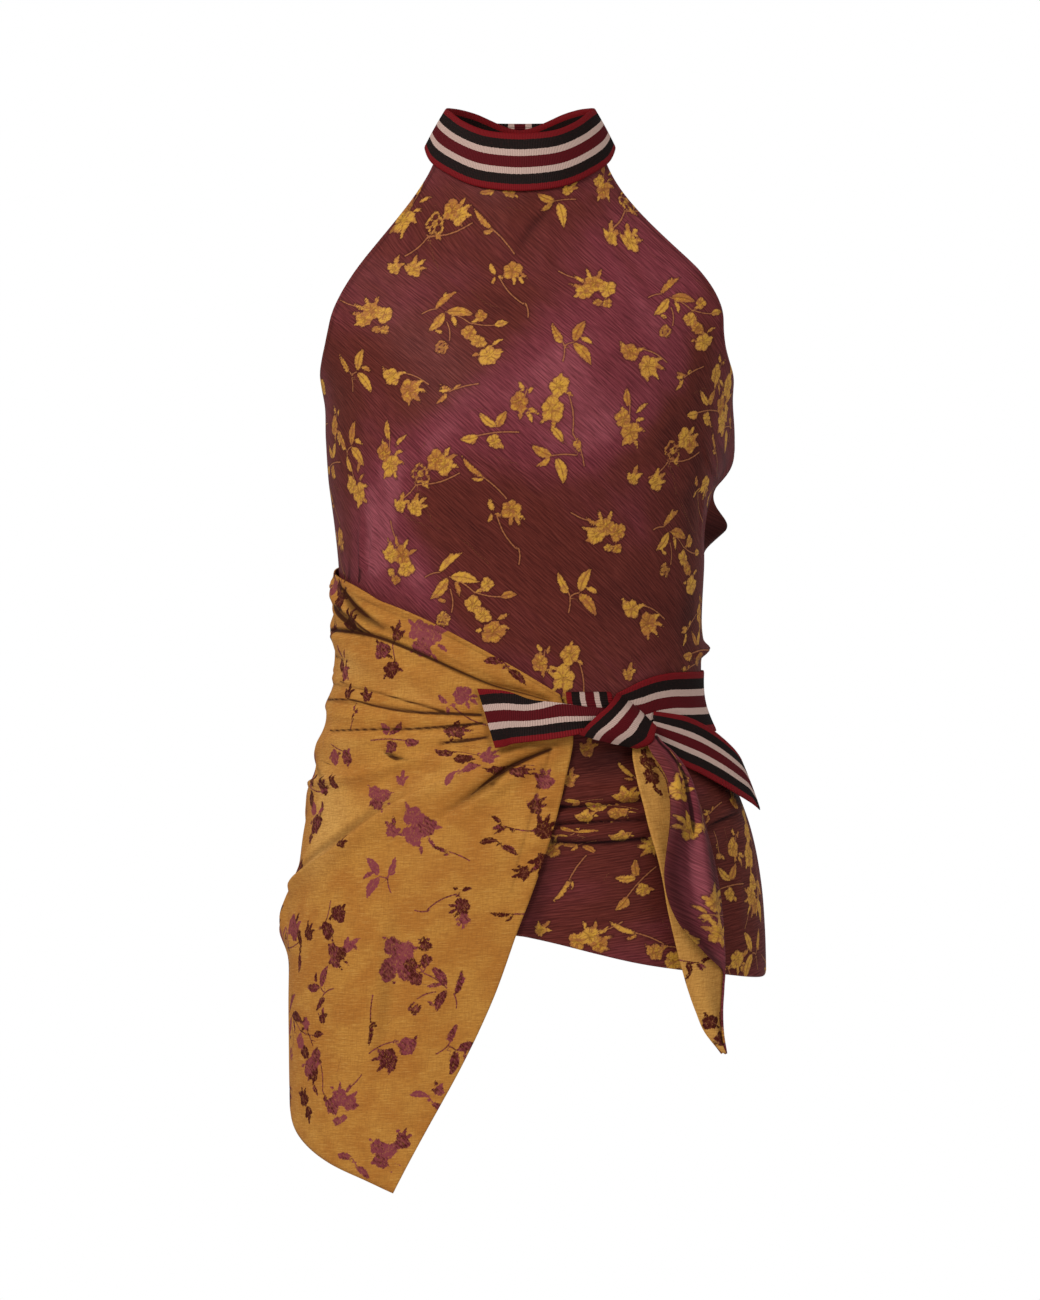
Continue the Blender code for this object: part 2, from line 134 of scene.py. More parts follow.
# Edges of the wrap panel, each from the back seam or the knot on.
WRAP_TOP = [
    # along, bearing_deg, z_mm
    (0.00, -150, -268),
    (0.18, -120, -275),
    (0.33, -95, -281),
    (0.42, -81, -284),
    (0.54, -60, -292),
    (0.65, -45, -303.5),
    (0.77, -27.5, -318),
    (0.87, -12, -336),
    (0.94, 0, -351),
    (1.00, 12, -367.5),
]
WRAP_FRONT = [
    # down, bearing_deg, z_mm: the knot, then the free edge
    (0.00, 12, -367.5),
    (0.15, 14, -384),
    (0.27, 14.4, -400),
    (0.37, 10.3, -432),
    (0.47, 6.1, -466),
    (0.57, 1.9, -500),
    (0.66, -2.0, -530),
    (0.76, -7.6, -575),
    (0.86, -15.2, -622),
    (0.94, -23.5, -665),
    (1.00, -32, -707),
]
WRAP_HEM = [
    # along, bearing_deg, z_mm
    (0.00, -150, -527),
    (0.14, -132, -560),
    (0.32, -111, -605),
    (0.48, -93, -644),
    (0.60, -79, -661),
    (0.70, -67, -674),
    (0.82, -52, -689),
    (0.92, -40, -699),
    (1.00, -32, -707),
]

# Rings of the collar by bearing: the ribbon leans in towards its top edge and dips
# at centre back, where its tie gathers it.
COLLAR_LOWER = {"half_width": 66.0, "middle": 5.0, "depth": 63.0}
COLLAR_UPPER = {"half_width": 51.0, "middle": 2.5, "depth": 52.5}
COLLAR_HEIGHTS = [
    # bearing_deg, lower_mm, upper_mm
    (0, -19.6, 20.5),
    (30, -14.5, 24),
    (50, -6, 30.5),
    (66, 1.5, 37),
    (90, 15, 42),
    (110, 14, 44.5),
    (130, 8, 45),
    (145, 4, 43),
    (158, 1, 39),
    (168, -1, 35.5),
    (180, -2, 33),
]
NECKLINE_ENDS = 67.5     # bearing on the collar where the front panel's neckline ends
NECKLINE_TUCK = 6.0      # the panel goes this far up behind the ribbon

# The waist ribbon's middle line, from the knot round the right side to the wrap's seam.
WAIST_RIBBON = [
    # bearing_deg, z_mm, half_width_mm
    (29.8, -377.5, 10.5),
    (34, -379.0, 16.2),
    (37.7, -378.5, 19.3),
    (43.5, -375.4, 20),
    (50, -373.8, 20.5),
    (60, -373.8, 21.2),
    (80, -373.5, 21.2),
    (110, -371, 20),
    (150, -372, 20),
    (180, -373, 20),
    (207, -375, 20),
]

# The largest folds: soft ridges (or troughs, below zero) along a straight run from
# one point of the cloth to another.
BODY_FOLDS = [
    # name, from_deg, from_mm, to_deg, to_mm, width_mm, from_height, to_height
    ("right armhole roll", 78, -165, 98, -203, 16, 1.5, 8.0),
    ("pinch under it", 70, -216, 100, -229, 8, 0.0, -2.5),
    ("bump above the belt", 78, -330, 102, -336, 9, 0.5, 3.0),
    ("gather under the knot, upper", 6, -438, 46, -436, 7, 3.0, 3.0),
    ("gather under the knot, middle", 6, -452, 44, -449, 6, 3.0, 3.5),
    ("gather under the knot, lower", 4, -466, 48, -468, 7, 3.0, 4.0),
]
BACK_FOLDS = [
    ("cowl, first", 104, -196, 180, -258, 13, 6.0, 8.0),
    ("cowl, first, left half", 180, -258, 256, -198, 13, 8.0, 3.0),
    ("cowl, second", 101, -248, 180, -300, 14, 18.0, 6.0),
    ("cowl, second, left half", 180, -300, 250, -252, 13, 6.0, 2.0),
    ("bump above the belt", 98, -336, 130, -330, 9, 3.0, 1.0),
]
WRAP_FOLDS = [
    ("top edge roll", -100, -292, 6, -362, 7, 4.0, 1.0),
    ("second roll", -98, -318, 2, -372, 8, 3.5, 1.0),
    ("to the waist", -96, -375, -6, -384, 8, 3.0, 1.0),
    ("to the hip", -98, -408, 0, -394, 9, 3.5, 1.5),
    ("high hip", -96, -442, -10, -404, 10, 3.0, 1.5),
    ("long diagonal", -90, -516, 4, -404, 12, 5.0, 2.5),
    ("side puff", -104, -535, -82, -532, 16, 13.0, 3.0),
]

# Front knot, all laid outside the panels: bearing, height, distance out, half width.
RIBBON_END_LEFT = [
    # bearing_deg, z_mm, out_mm, half_width_mm
    (-9.6, -384.0, 13.0, 20.8),
    (-4.1, -383.8, 13.5, 19.3),
    (2.4, -385.6, 13.0, 15.0),
    (10.7, -385.6, 12.2, 12.4),
    (18.9, -385.2, 11.4, 9.0),
    (24.5, -384.8, 11.0, 7.6),
]
RIBBON_END_RIGHT = [
    (39.5, -392.0, 4.1, 13.0),
    (45, -396.5, 4.2, 16.0),
    (50.6, -401.0, 4.5, 18.5),
    (56.6, -406.1, 5.2, 19.5),
    (63.3, -413.3, 6.6, 20.0),
    (72.7, -423.5, 8.6, 20.0),
    (80, -430.0, 10.0, 19.5),
    (86, -435.0, 11.0, 19.0),
]
KNOT_BAND = [
    # outer_deg, outer_mm, middle_deg, middle_mm, inner_deg, inner_mm, out of each
    (29.3, -366.6, 35.4, -376.2, 39.4, -389.3, 5.6, 4.6, 6.2),
    (27.4, -370.8, 33.4, -379.4, 38.9, -391.8, 9.5, 10.0, 11.5),
    (24.4, -377.3, 30.6, -384.5, 37.4, -395.8, 13.5, 15.0, 14.0),
    (20.9, -384.0, 27.1, -392.2, 35.6, -401.9, 15.5, 17.0, 15.5),
    (17.6, -391.4, 23.9, -397.2, 33.3, -405.2, 15.5, 16.5, 15.0),
    (16.0, -396.2, 22.4, -401.3, 31.3, -406.6, 13.6, 13.0, 12.0),
]
KNOT_LOOP = [
    # bearing_deg, z_mm, out_mm, half_width_mm
    (20.4, -366.4, 4.8, 15.0),
    (20.4, -365.7, 6.0, 15.1),
    (20.5, -367.0, 7.2, 15.3),
    (20.6, -372, 7.8, 15.5),
    (21.2, -380, 8.0, 15.5),
    (21.6, -389, 7.4, 15.2),
]

# Tail of the same jacquard, folded lengthwise: the back layer hangs from the knot to
# the point, the front layer returns from the fold on the right and ends higher.
TAIL = [
    # z_mm, left_edge_deg, fold_deg, front_layer_edge_deg, out_mm
    (-398, 33.0, 39.4, 36.0, 5.8),
    (-404, 31.0, 40.4, 34.2, 8.0),
    (-410, 30.1, 42.2, 34.2, 9.5),
    (-419, 29.6, 43.8, 35.4, 11.5),
    (-429, 29.4, 44.7, 36.2, 13.0),
    (-443, 29.6, 45.1, 35.7, 13.5),
    (-460, 29.8, 45.4, 34.8, 13.5),
    (-477, 30.5, 45.9, 33.9, 13.5),
    (-494, 31.3, 46.5, 33.4, 13.0),
    (-511, 32.2, 47.0, 34.0, 13.0),
    (-525, 33.4, 47.4, 35.9, 13.0),
    (-535, 34.3, 47.5, 38.6, 13.0),
    (-545, 35.2, 47.5, 42.2, 13.0),
    (-554, 36.1, 47.4, 46.2, 13.0),
    (-566, 37.3, 46.9, 46.7, 13.0),
    (-582, 39.4, 46.5, 46.4, 13.0),
    (-599, 42.4, 46.9, 46.8, 13.0),
    (-612, 46.9, 47.9, 47.8, 13.0),
]
TAIL_FOLD_DEPTH = 7.0    # the front layer stands this far off the back layer

# Tie of the collar at centre back, and its two ends hanging from under it.
COLLAR_KNOT = {"half_width": 20.0, "top": 38.5, "bottom": -14.0, "out": 6.5, "bulge": 4.5}
COLLAR_END_LEFT = [
    # x_mm, y_mm, z_mm, half_width_mm
    (-8.5, 71.0, -4, 6.5),
    (-9.4, 71.2, -15, 7.0),
    (-14.0, 79.0, -34, 13.0),
    (-20.5, 85.5, -60, 18.0),
    (-26.0, 90.5, -86, 19.8),
    (-29.5, 93.0, -109, 20.0),
]
COLLAR_END_RIGHT = [
    (8.5, 71.0, -4, 6.5),
    (9.4, 71.2, -15, 7.0),
    (13.2, 79.5, -34, 12.5),
    (19.4, 86.0, -57, 17.8),
    (24.0, 90.0, -79, 19.8),
    (27.0, 92.3, -99, 20.0),
]

# ------------------------------------------------------------------ measuring rules
def column(rows, name_index, at):
    """A table's column as a smooth curve through its rows, read at one or many places."""
    rows = sorted(rows, key=lambda r: r[0])
    known = np.array([r[0] for r in rows], float)
    value = np.array([r[name_index] for r in rows], float)
    step = np.diff(known)
    rise = np.diff(value) / step
    slope = np.empty(len(known))
    slope[0], slope[-1] = rise[0], rise[-1]
    slope[1:-1] = (rise[:-1] * step[1:] + rise[1:] * step[:-1]) / (step[1:] + step[:-1])
    at = np.clip(np.asarray(at, float), known[0], known[-1])
    i = np.clip(np.searchsorted(known, at, side="right") - 1, 0, len(known) - 2)
    h = step[i]
    t = (at - known[i]) / h
    return (
        (2 * t**3 - 3 * t**2 + 1) * value[i]
        + (t**3 - 2 * t**2 + t) * h * slope[i]
        + (3 * t**2 - 2 * t**3) * value[i + 1]
        + (t**3 - t**2) * h * slope[i + 1]
    )


def soft_step(low, high, at):
    t = np.clip((np.asarray(at, float) - low) / (high - low), 0, 1)
    return t * t * (3 - 2 * t)


def figure(bearing, z):
    bearing, z = np.broadcast_arrays(np.asarray(bearing, float), np.asarray(z, float))
    s, c = np.sin(np.radians(bearing)), np.cos(np.radians(bearing))
    half = np.where(s < 0, column(FIGURE, 1, z), column(FIGURE, 2, z))
    deep = np.where(c > 0, column(FIGURE, 3, z), column(FIGURE, 4, z))
    r = (np.abs(s) ** SQUARENESS + np.abs(c) ** SQUARENESS) ** (-1 / SQUARENESS)
    return np.stack([half * r * s, MIDDLE - deep * r * c, z], -1)


def outward(bearing, z):
    across = figure(np.asarray(bearing) + 0.5, z) - figure(np.asarray(bearing) - 0.5, z)
    up = figure(bearing, np.asarray(z) + 1.0) - figure(bearing, np.asarray(z) - 1.0)
    n = np.cross(across, up)
    return n / np.linalg.norm(n, axis=-1, keepdims=True)


def off_figure(bearing, z, out):
    return figure(bearing, z) + outward(bearing, z) * np.asarray(out, float)[..., None]


def girth_per_degree(bearing, z):
    return np.linalg.norm(
        figure(np.asarray(bearing) + 0.5, z) - figure(np.asarray(bearing) - 0.5, z), axis=-1
    )


def fold_height(folds, bearing, z):
    total = np.zeros(np.broadcast(bearing, z).shape)
    for _, b0, z0, b1, z1, width, h0, h1 in folds:
        per_degree = 2.2
        dx, dz = (b1 - b0) * per_degree, z1 - z0
        px, pz = (np.asarray(bearing) - b0) * per_degree, np.asarray(z) - z0
        length = np.hypot(dx, dz)
        along = (px * dx + pz * dz) / length
        side = (pz * dx - px * dz) / length
        t = np.clip(along / length, 0, 1)
        past = np.maximum(0, np.maximum(-along, along - length))
        total += (h0 + (h1 - h0) * t) * np.exp(-((side / width) ** 2) - (past / (1.6 * width)) ** 2)
    return total


def collar_point(bearing, up):
    bearing, up = np.broadcast_arrays(np.asarray(bearing, float), np.asarray(up, float))
    s, c = np.sin(np.radians(bearing)), np.cos(np.radians(bearing))
    around = np.abs((bearing + 180) % 360 - 180)
    ends = []
    for ring, height in ((COLLAR_LOWER, 1), (COLLAR_UPPER, 2)):
        ends.append(
            np.stack(
                [
                    ring["half_width"] * s,
                    ring["middle"] - ring["depth"] * c,
                    column(COLLAR_HEIGHTS, height, around),
                ],
                -1,
            )
        )
    return ends[0] * (1 - up)[..., None] + ends[1] * up[..., None]


# The cloth's flat coordinates: how far round the figure from centre front, and how far
# up from the height -250, both measured on the figure's surface.
ROUND = np.arange(-190.0, 281.0, 2.0)
LEVELS = np.arange(-760.0, 31.0, 5.0)
_b, _z = np.meshgrid(ROUND, LEVELS)
_p = figure(_b, _z)
_s = np.concatenate([np.zeros((len(LEVELS), 1)), np.cumsum(np.linalg.norm(np.diff(_p, axis=1), axis=-1), 1)], 1)
_s -= _s[:, [int(np.argmin(np.abs(ROUND)))]]
_t = np.concatenate([np.zeros((1, len(ROUND))), np.cumsum(np.linalg.norm(np.diff(_p, axis=0), axis=-1), 0)], 0)
_t -= _t[[int(np.argmin(np.abs(LEVELS + 250.0)))], :]


def flat(bearing, z):
    """Flat coordinates (across, up) in mm of places on the figure."""
    bearing, z = np.broadcast_arrays(np.asarray(bearing, float), np.asarray(z, float))
    i = np.clip((bearing - ROUND[0]) / 2.0, 0, len(ROUND) - 1.001)
    j = np.clip((z - LEVELS[0]) / 5.0, 0, len(LEVELS) - 1.001)
    i0, j0 = i.astype(int), j.astype(int)
    a, b = i - i0, j - j0
    read = lambda g: (
        g[j0, i0] * (1 - a) * (1 - b) + g[j0, i0 + 1] * a * (1 - b)
        + g[j0 + 1, i0] * (1 - a) * b + g[j0 + 1, i0 + 1] * a * b
    )
    return read(_s), read(_t)


VIEW = {"back_mm": 3000.0, "level_mm": -337.4, "middle": (520.0, 650.0), "mm_per_px": 0.7}


def seen(x, y, out=0.0):
    """The bearing and height of the place on the figure's front that is seen at (x, y)."""
    x, y = np.asarray(x, float), np.asarray(y, float)
    depth = np.full(x.shape, -80.0)
    for _ in range(16):
        f = (VIEW["back_mm"] + depth) / VIEW["back_mm"]
        at = (x - VIEW["middle"][0]) * VIEW["mm_per_px"] * f
        z = VIEW["level_mm"] + (VIEW["middle"][1] - y) * VIEW["mm_per_px"] * f
        half = np.where(at < 0, column(FIGURE, 1, z), column(FIGURE, 2, z)) + out
        q = np.clip(np.abs(at) / half, 0, 0.9995)
        bearing = np.degrees(np.arctan(q / (1 - q**SQUARENESS) ** (1 / SQUARENESS))) * np.sign(at)
        depth = 0.5 * depth + 0.5 * off_figure(bearing, z, np.full(x.shape, out))[..., 1]
    return bearing, z


def flat_seen(points, out=0.0):
    p = np.array(points, float)
    b, z = seen(p[:, 0], p[:, 1], out)
    s, t = flat(b, z)
    return np.stack([s, t], 1)


# ------------------------------------------------------------------ creases
def path_measure(path, s, t):
    """For each place: distance to the path, side of it (left of its run is above zero)
    and how far along it, from 0 to 1."""
    steps = np.diff(path, axis=0)
    lengths = np.hypot(steps[:, 0], steps[:, 1])
    before = np.concatenate([[0], np.cumsum(lengths)])
    best = np.full(s.shape, 1e9)
    side = np.zeros(s.shape)
    along = np.zeros(s.shape)
    for (x0, y0), (dx, dy), length, start in zip(path[:-1], steps, lengths, before):
        px, py = s - x0, t - y0
        a = np.clip((px * dx + py * dy) / length**2, 0, 1)
        d = np.hypot(px - a * dx, py - a * dy)
        closer = d < best
        best = np.where(closer, d, best)
        side = np.where(closer, (py * dx - px * dy) / length, side)
        along = np.where(closer, (start + a * length) / before[-1], along)
    return best, side, along


def smooth_path(path, per=6):
    """The points of a path with more between them, on a smooth curve."""
    path = np.array(path, float)
    if len(path) < 3:
        return path
    k = np.arange(len(path), dtype=float)
    fine = np.linspace(0, len(path) - 1, (len(path) - 1) * per + 1)
    rows = [(a, b[0], b[1]) for a, b in zip(k, path)]
    return np.stack([column(rows, 1, fine), column(rows, 2, fine)], 1)


def crease_height(creases, s, t, out=0.0, on_view=True):
    """Creases are ridges (or troughs, below zero): name, path, width on the upper side,
    width on the lower side, height at the start, middle and end, and the depth of the
    trough that runs under a ridge's lower side. A path runs left to right."""
    total = np.zeros(s.shape)
    for name, path, above, below, heights, trough in creases:
        path = np.array(path, float)
        if on_view:
            path = flat_seen(path, out)
        else:
            path = np.stack(flat(path[:, 0], path[:, 1]), 1)
        path = smooth_path(path)
        reach = 4 * max(above, below) + 4
        lo, hi = path.min(0) - reach, path.max(0) + reach
        near = (s > lo[0]) & (s < hi[0]) & (t > lo[1]) & (t < hi[1])
        if not near.any():
            continue
        d, side, along = path_measure(path, s[near], t[near])
        wide = np.where(side > 0, above, below)
        h = column([(0.0, heights[0]), (0.5, heights[1]), (1.0, heights[2])], 1, along)
        shape = np.exp(-((d / wide) ** 2))
        signed = d * np.sign(side + 1e-9)
        under = np.exp(-(((signed + 1.9 * below) / (0.9 * below)) ** 2))
        total[near] += h * shape - trough * np.abs(h) / max(1e-6, max(map(abs, heights))) * under
    return total


def crease_shade_lines(lines, s, t, out=0.0):
    """Thin lines of painted shade at the foot of the sharpest creases: name, path, and how strong the
    line is at its start, middle and end. The value falls off evenly to each side, 1 in
    3 mm, so that the material can draw the line finer than the mesh."""
    total = np.zeros(s.shape)
    for name, path, strengths in lines:
        path = smooth_path(flat_seen(np.array(path, float), out))
        lo, hi = path.min(0) - 4, path.max(0) + 4
        near = (s > lo[0]) & (s < hi[0]) & (t > lo[1]) & (t < hi[1])
        if not near.any():
            continue
        d, side, along = path_measure(path, s[near], t[near])
        h = column([(0.0, strengths[0]), (0.5, strengths[1]), (1.0, strengths[2])], 1, along)
        total[near] = np.maximum(total[near], h - d / 3.0)
    return total


# ------------------------------------------------------------------ sprigs
# Own designs for the woven sprigs. blossom: x, y, radius, turn, petals (outline is a
# blossom drawn as a line). leaf: foot x, y, direction, length, width. stem: from x, y to
# x, y, and how far its middle bows aside.
SPRIGS = {
    "ray_cluster": [
        ("blossom", -5.2, -4.5, 6.2, 20, 5), ("blossom", 0.8, 1.5, 6.8, 0, 5), ("blossom", 9.6, -2.0, 6.0, 40, 5),
        ("leaf", -7, 0, 172, 9.5, 2.4), ("leaf", -5, 3, 146, 9.5, 2.6), ("leaf", -1, 6, 112, 8, 2.6),
        ("leaf", 4, 6, 74, 7.5, 2.6), ("leaf", -8, -6, 205, 6.5, 2.6),
        ("blossom", 3.2, -12.8, 3.0, 10, 4), ("blossom", 9.6, -13.4, 3.4, 40, 4), ("stem", 3, -12, 10, -13.4, 0.4),
        ("stem", -7, 5, -23, 11, 1.0),
    ],
    "garland": [
        ("blossom", -1.5, 1.5, 7.0, 14, 5), ("blossom", 4.5, -2.0, 6.2, 44, 5), ("leaf", 5, 4, 62, 8, 3.0),
        ("leaf", 7, 2, 28, 7.5, 2.8), ("leaf", 8, -2, 352, 7, 2.8), ("leaf", 3, -5, 318, 6.5, 2.6),
        ("outline", -12.6, -7.6, 7.0, 30, 5), ("blossom", -12.6, -7.6, 2.4, 0, 4),
        ("stem", -16, -14.5, 15, -7.0, -2.6), ("stem", -16, -14.5, -30, -25.5, 1.4), ("leaf", -12, -14, 330, 7, 2.4),
    ],
    "flower": [
        ("blossom", 0.2, -1.4, 5.6, 18, 5), ("leaf", 1.0, 2.5, 78, 7.5, 3.2), ("leaf", 3.0, 1.2, 40, 7.5, 2.8),
        ("leaf", 4.0, -1.0, 8, 6.0, 2.6), ("leaf", -3.0, 1.0, 150, 4.0, 2.4),
    ],
    "small_flower": [
        ("blossom", -0.5, -1.6, 4.3, 10, 5), ("leaf", 0.5, 1.0, 74, 8, 3.2), ("leaf", 1.5, 0.0, 24, 6.0, 2.8), ("leaf", -2, 0, 130, 5, 2.6),
    ],
    "stem_blossom": [
        ("blossom", -0.5, 2, 6.4, 15, 5), ("leaf", 3.5, -3, 300, 7, 2.8), ("leaf", 4.5, -1, 332, 6, 2.4),
        ("leaf", 0, -3, 275, 7, 2.8), ("leaf", -12, -1, 112, 9.5, 3.6), ("leaf", -12.5, -3, 250, 6.5, 2.6),
        ("leaf", -10.5, -2, 322, 5, 2.2), ("stem", -9, -4, 7.5, -25, -2.0), ("stem", 8.6, -24, 10.2, -35, 0.8),
    ],
    "branch": [
        ("stem", -16, -2, -6, 1.5, 0.8), ("leaf", -7, 1.5, 42, 20, 4.4), ("leaf", -1, 8.5, 70, 6.5, 2.4),
        ("leaf", -1, -2, 232, 17.5, 6.4), ("leaf", 1, -1, 352, 18.5, 7.0), ("leaf", 4, -4, 288, 10, 3.0),
        ("blossom", 24, -4.5, 4.2, 0, 4), ("leaf", 22, -7.5, 205, 5, 2.4), ("stem", 0, -1, 17, -10.5, 1.2),
        ("stem", 17, -10.0, 34.5, -12, -1.0), ("leaf", 33.5, -12.2, 12, 10, 5.0),
        ("blossom", 16.5, -18, 5.6, 20, 5), ("blossom", 23, -24.5, 5.0, 44, 5), ("blossom", 29.5, -34.5, 7.0, 8, 5),
        ("leaf", 22.5, -33, 200, 4.5, 2.6), ("leaf", 32, -27, 30, 8.5, 2.6), ("leaf", 34, -31, 350, 6, 2.6),
        ("stem", 1, -9, 2.6, -23.5, 1.2), ("leaf", -1.5, -17, 160, 6.5, 2.6), ("outline", -3, -28, 4.8, 12, 5),
        ("blossom", -3, -28, 1.8, 0, 4),
    ],
    "three_leaf": [
        ("leaf", -7.4, 1, 118, 15.5, 4.6), ("leaf", -7.4, 0, 150, 7, 2.4), ("stem", -6.2, -3, 0, 0, 0.8),
        ("stem", -6.2, -2.5, -7.2, -13.5, 0.5), ("stem", -7.6, 1, -6.2, -3, 0.2), ("leaf", 0.6, 1.0, 64, 17.5, 7.0),
        ("leaf", 5.2, 3.6, 332, 9, 3.6), ("leaf", 0, -0.5, 308, 19.5, 7.2),
    ],
    "fringe_pair": [
        ("blossom", -7.6, 5.2, 6.6, 10, 5), ("blossom", 5.2, -4.3, 7.4, 35, 5), ("leaf", 9, -1, 20, 8.5, 2.6),
        ("leaf", 10, -4, 346, 9.5, 2.6), ("leaf", 8, -8, 318, 8.5, 2.6), ("leaf", -3, 6.5, 14, 7, 2.4),
        ("leaf", 4, -10, 282, 6, 2.4), ("leaf", -12, 9, 128, 5.5, 2.4), ("stem", -2, 8.5, 20, -1, 1.8),
    ],
    "twig": [
        ("leaf", -1, -0.5, 214, 11, 3.0), ("leaf", 0, 1, 166, 8, 2.6), ("leaf", 2, 1.5, 148, 9.0, 2.4),
        ("leaf", 3.5, 1, 28, 6, 2.2), ("stem", 0, 0.3, 21, 2.5, 0.8),
    ],
    "needle": [
        ("leaf", 0, 0, 135, 21, 3.6), ("leaf", 0.5, -1.5, 176, 9, 2.4), ("stem", 0, 0, 16, -15, 0.8),
    ],
    "stacked": [
        ("blossom", 0, 0, 8.0, 16, 5), ("blossom", 4.7, 16, 6.8, 40, 5), ("leaf", 1, -7, 262, 7, 2.8),
        ("leaf", -0.7, -12, 308, 13.5, 5.2), ("leaf", 5, 20, 70, 6, 2.6), ("leaf", 9, 12, 330, 6, 2.4),
        ("leaf", -4.5, -5, 232, 6, 2.4), ("stem", 11, 11, 14, -16, 1.8), ("stem", 14, -16, 22, -38, 1.4),
        ("leaf", 14, -21, 300, 9, 3.0), ("leaf", 17, -19, 283, 10, 2.4),
    ],
    "leaf_trio": [
        ("leaf", -1, 0.5, 152, 15.5, 6.4), ("leaf", -2, -1, 212, 10.5, 3.8), ("leaf", 2.4, -1.0, 286, 18.5, 7.2),
        ("stem", -1, 0.5, 16, 1.0, 0.8),
    ],
    "vee": [
        ("leaf", -1, 4.0, 140, 15.5, 5.2), ("leaf", 0, 4.0, 60, 12, 6.0), ("stem", -14.5, -2.0, 14, 0.5, 1.2),
        ("leaf", -13.5, -2.4, 187, 12.5, 5.8), ("leaf", -15.5, -3, 250, 5, 2.4), ("blossom", -2.4, -5.8, 4.8, 10, 5),
        ("leaf", 1, -7, 300, 5, 2.4),
    ],
    "ray_blossom": [
        ("blossom", -1, 1, 6.4, 10, 5), ("leaf", 3, 9, 118, 7.5, 3.2), ("leaf", 6, 7, 60, 6, 2.6),
        ("leaf", 5, -3, 330, 9.5, 2.8), ("leaf", 4, -5, 298, 9.5, 2.8), ("leaf", 0, -4, 268, 7, 2.8), ("stem", 3, 3, 5, 10, 0.4),
    ],
    "plume": [
        ("blossom", -4.2, 3, 6.2, 12, 5), ("blossom", 1, -5.5, 7.0, 40, 5), ("leaf", 5, 2, 15, 7.5, 2.6),
        ("leaf", 5.5, -3, 345, 7.5, 2.6), ("leaf", 4, -10, 290, 6.5, 2.6), ("leaf", -3, -10, 250, 5.5, 2.6),
        ("leaf", 0, 11.5, 95, 14, 4.8), ("leaf", 5.5, 7.5, 38, 11.5, 2.8), ("stem", 0.5, 4, 0.8, 13, 0.2),
        ("leaf", -2, 7, 125, 7, 2.4),
    ],
    "two_flowers": [
        ("blossom", -3.8, 5.4, 6.4, 14, 5), ("blossom", 4.2, -8.4, 6.2, 40, 5), ("leaf", -6, 10, 128, 5, 2.4),
        ("leaf", 9, -8, 340, 5.5, 2.4), ("leaf", 0, 2, 330, 6, 2.4), ("stem", 5.5, 13, 7.5, -4, -0.8), ("leaf", -1, -12, 240, 4.5, 2.2),
    ],
    "big_cluster": [
        ("blossom", -5.5, 6.5, 6.6, 12, 5), ("blossom", 4.5, 3.0, 6.8, 40, 5), ("blossom", -2.0, -6.0, 7.0, 25, 5),
        ("leaf", -9, 10, 140, 6, 2.6), ("leaf", 8, -4, 325, 9, 2.8), ("leaf", 9, 4, 18, 7, 2.6), ("leaf", 4, -10, 300, 7.5, 2.6),
        ("leaf", -7, -6, 212, 6, 2.6),
    ],
    "leaf_pair": [
        ("leaf", -15, 4.5, 355, 16, 5.6), ("leaf", 2, -1.5, 318, 17, 5.6), ("stem", -1, 3.5, 3, -2, 0.4), ("leaf", -2, -1, 20, 6, 2.2),
    ],
}

# The woven repeat: each sprig's place in it, its turn and its size, and the two steps
# by which the repeat is set side by side, all in mm and degrees.
REPEAT_STEPS = ((155.0, 18.5), (-4.0, 167.0))
REPEAT = [
    ("ray_cluster", 0.0, 0.0, 0, 1.0, 1), ("three_leaf", -12.0, -38.0, 0, 1.0, 1), ("fringe_pair", 31.0, -51.0, 0, 1.0, 1),
    ("twig", 61.0, -61.0, 0, 1.0, 1), ("branch", 51.0, 2.5, 0, 1.0, 1), ("garland", 52.5, 62.0, 0, 1.0, 1),
    ("flower", 28.5, 31.5, 0, 1.0, 1), ("small_flower", 16.5, 32.5, 0, 1.0, 1), ("needle", 83.0, 52.5, 0, 1.0, 1),
    ("stem_blossom", 97.0, 27.5, 0, 1.0, 1), ("vee", 93.0, 80.0, 0, 1.0, 1), ("leaf_trio", 126.0, 70.0, 0, 1.0, 1),
    ("stacked", 123.0, -68.0, 0, 1.0, 1), ("ray_blossom", 102.0, -62.0, 0, 1.0, 1), ("plume", 16.0, 61.0, 0, 1.0, 1),
]
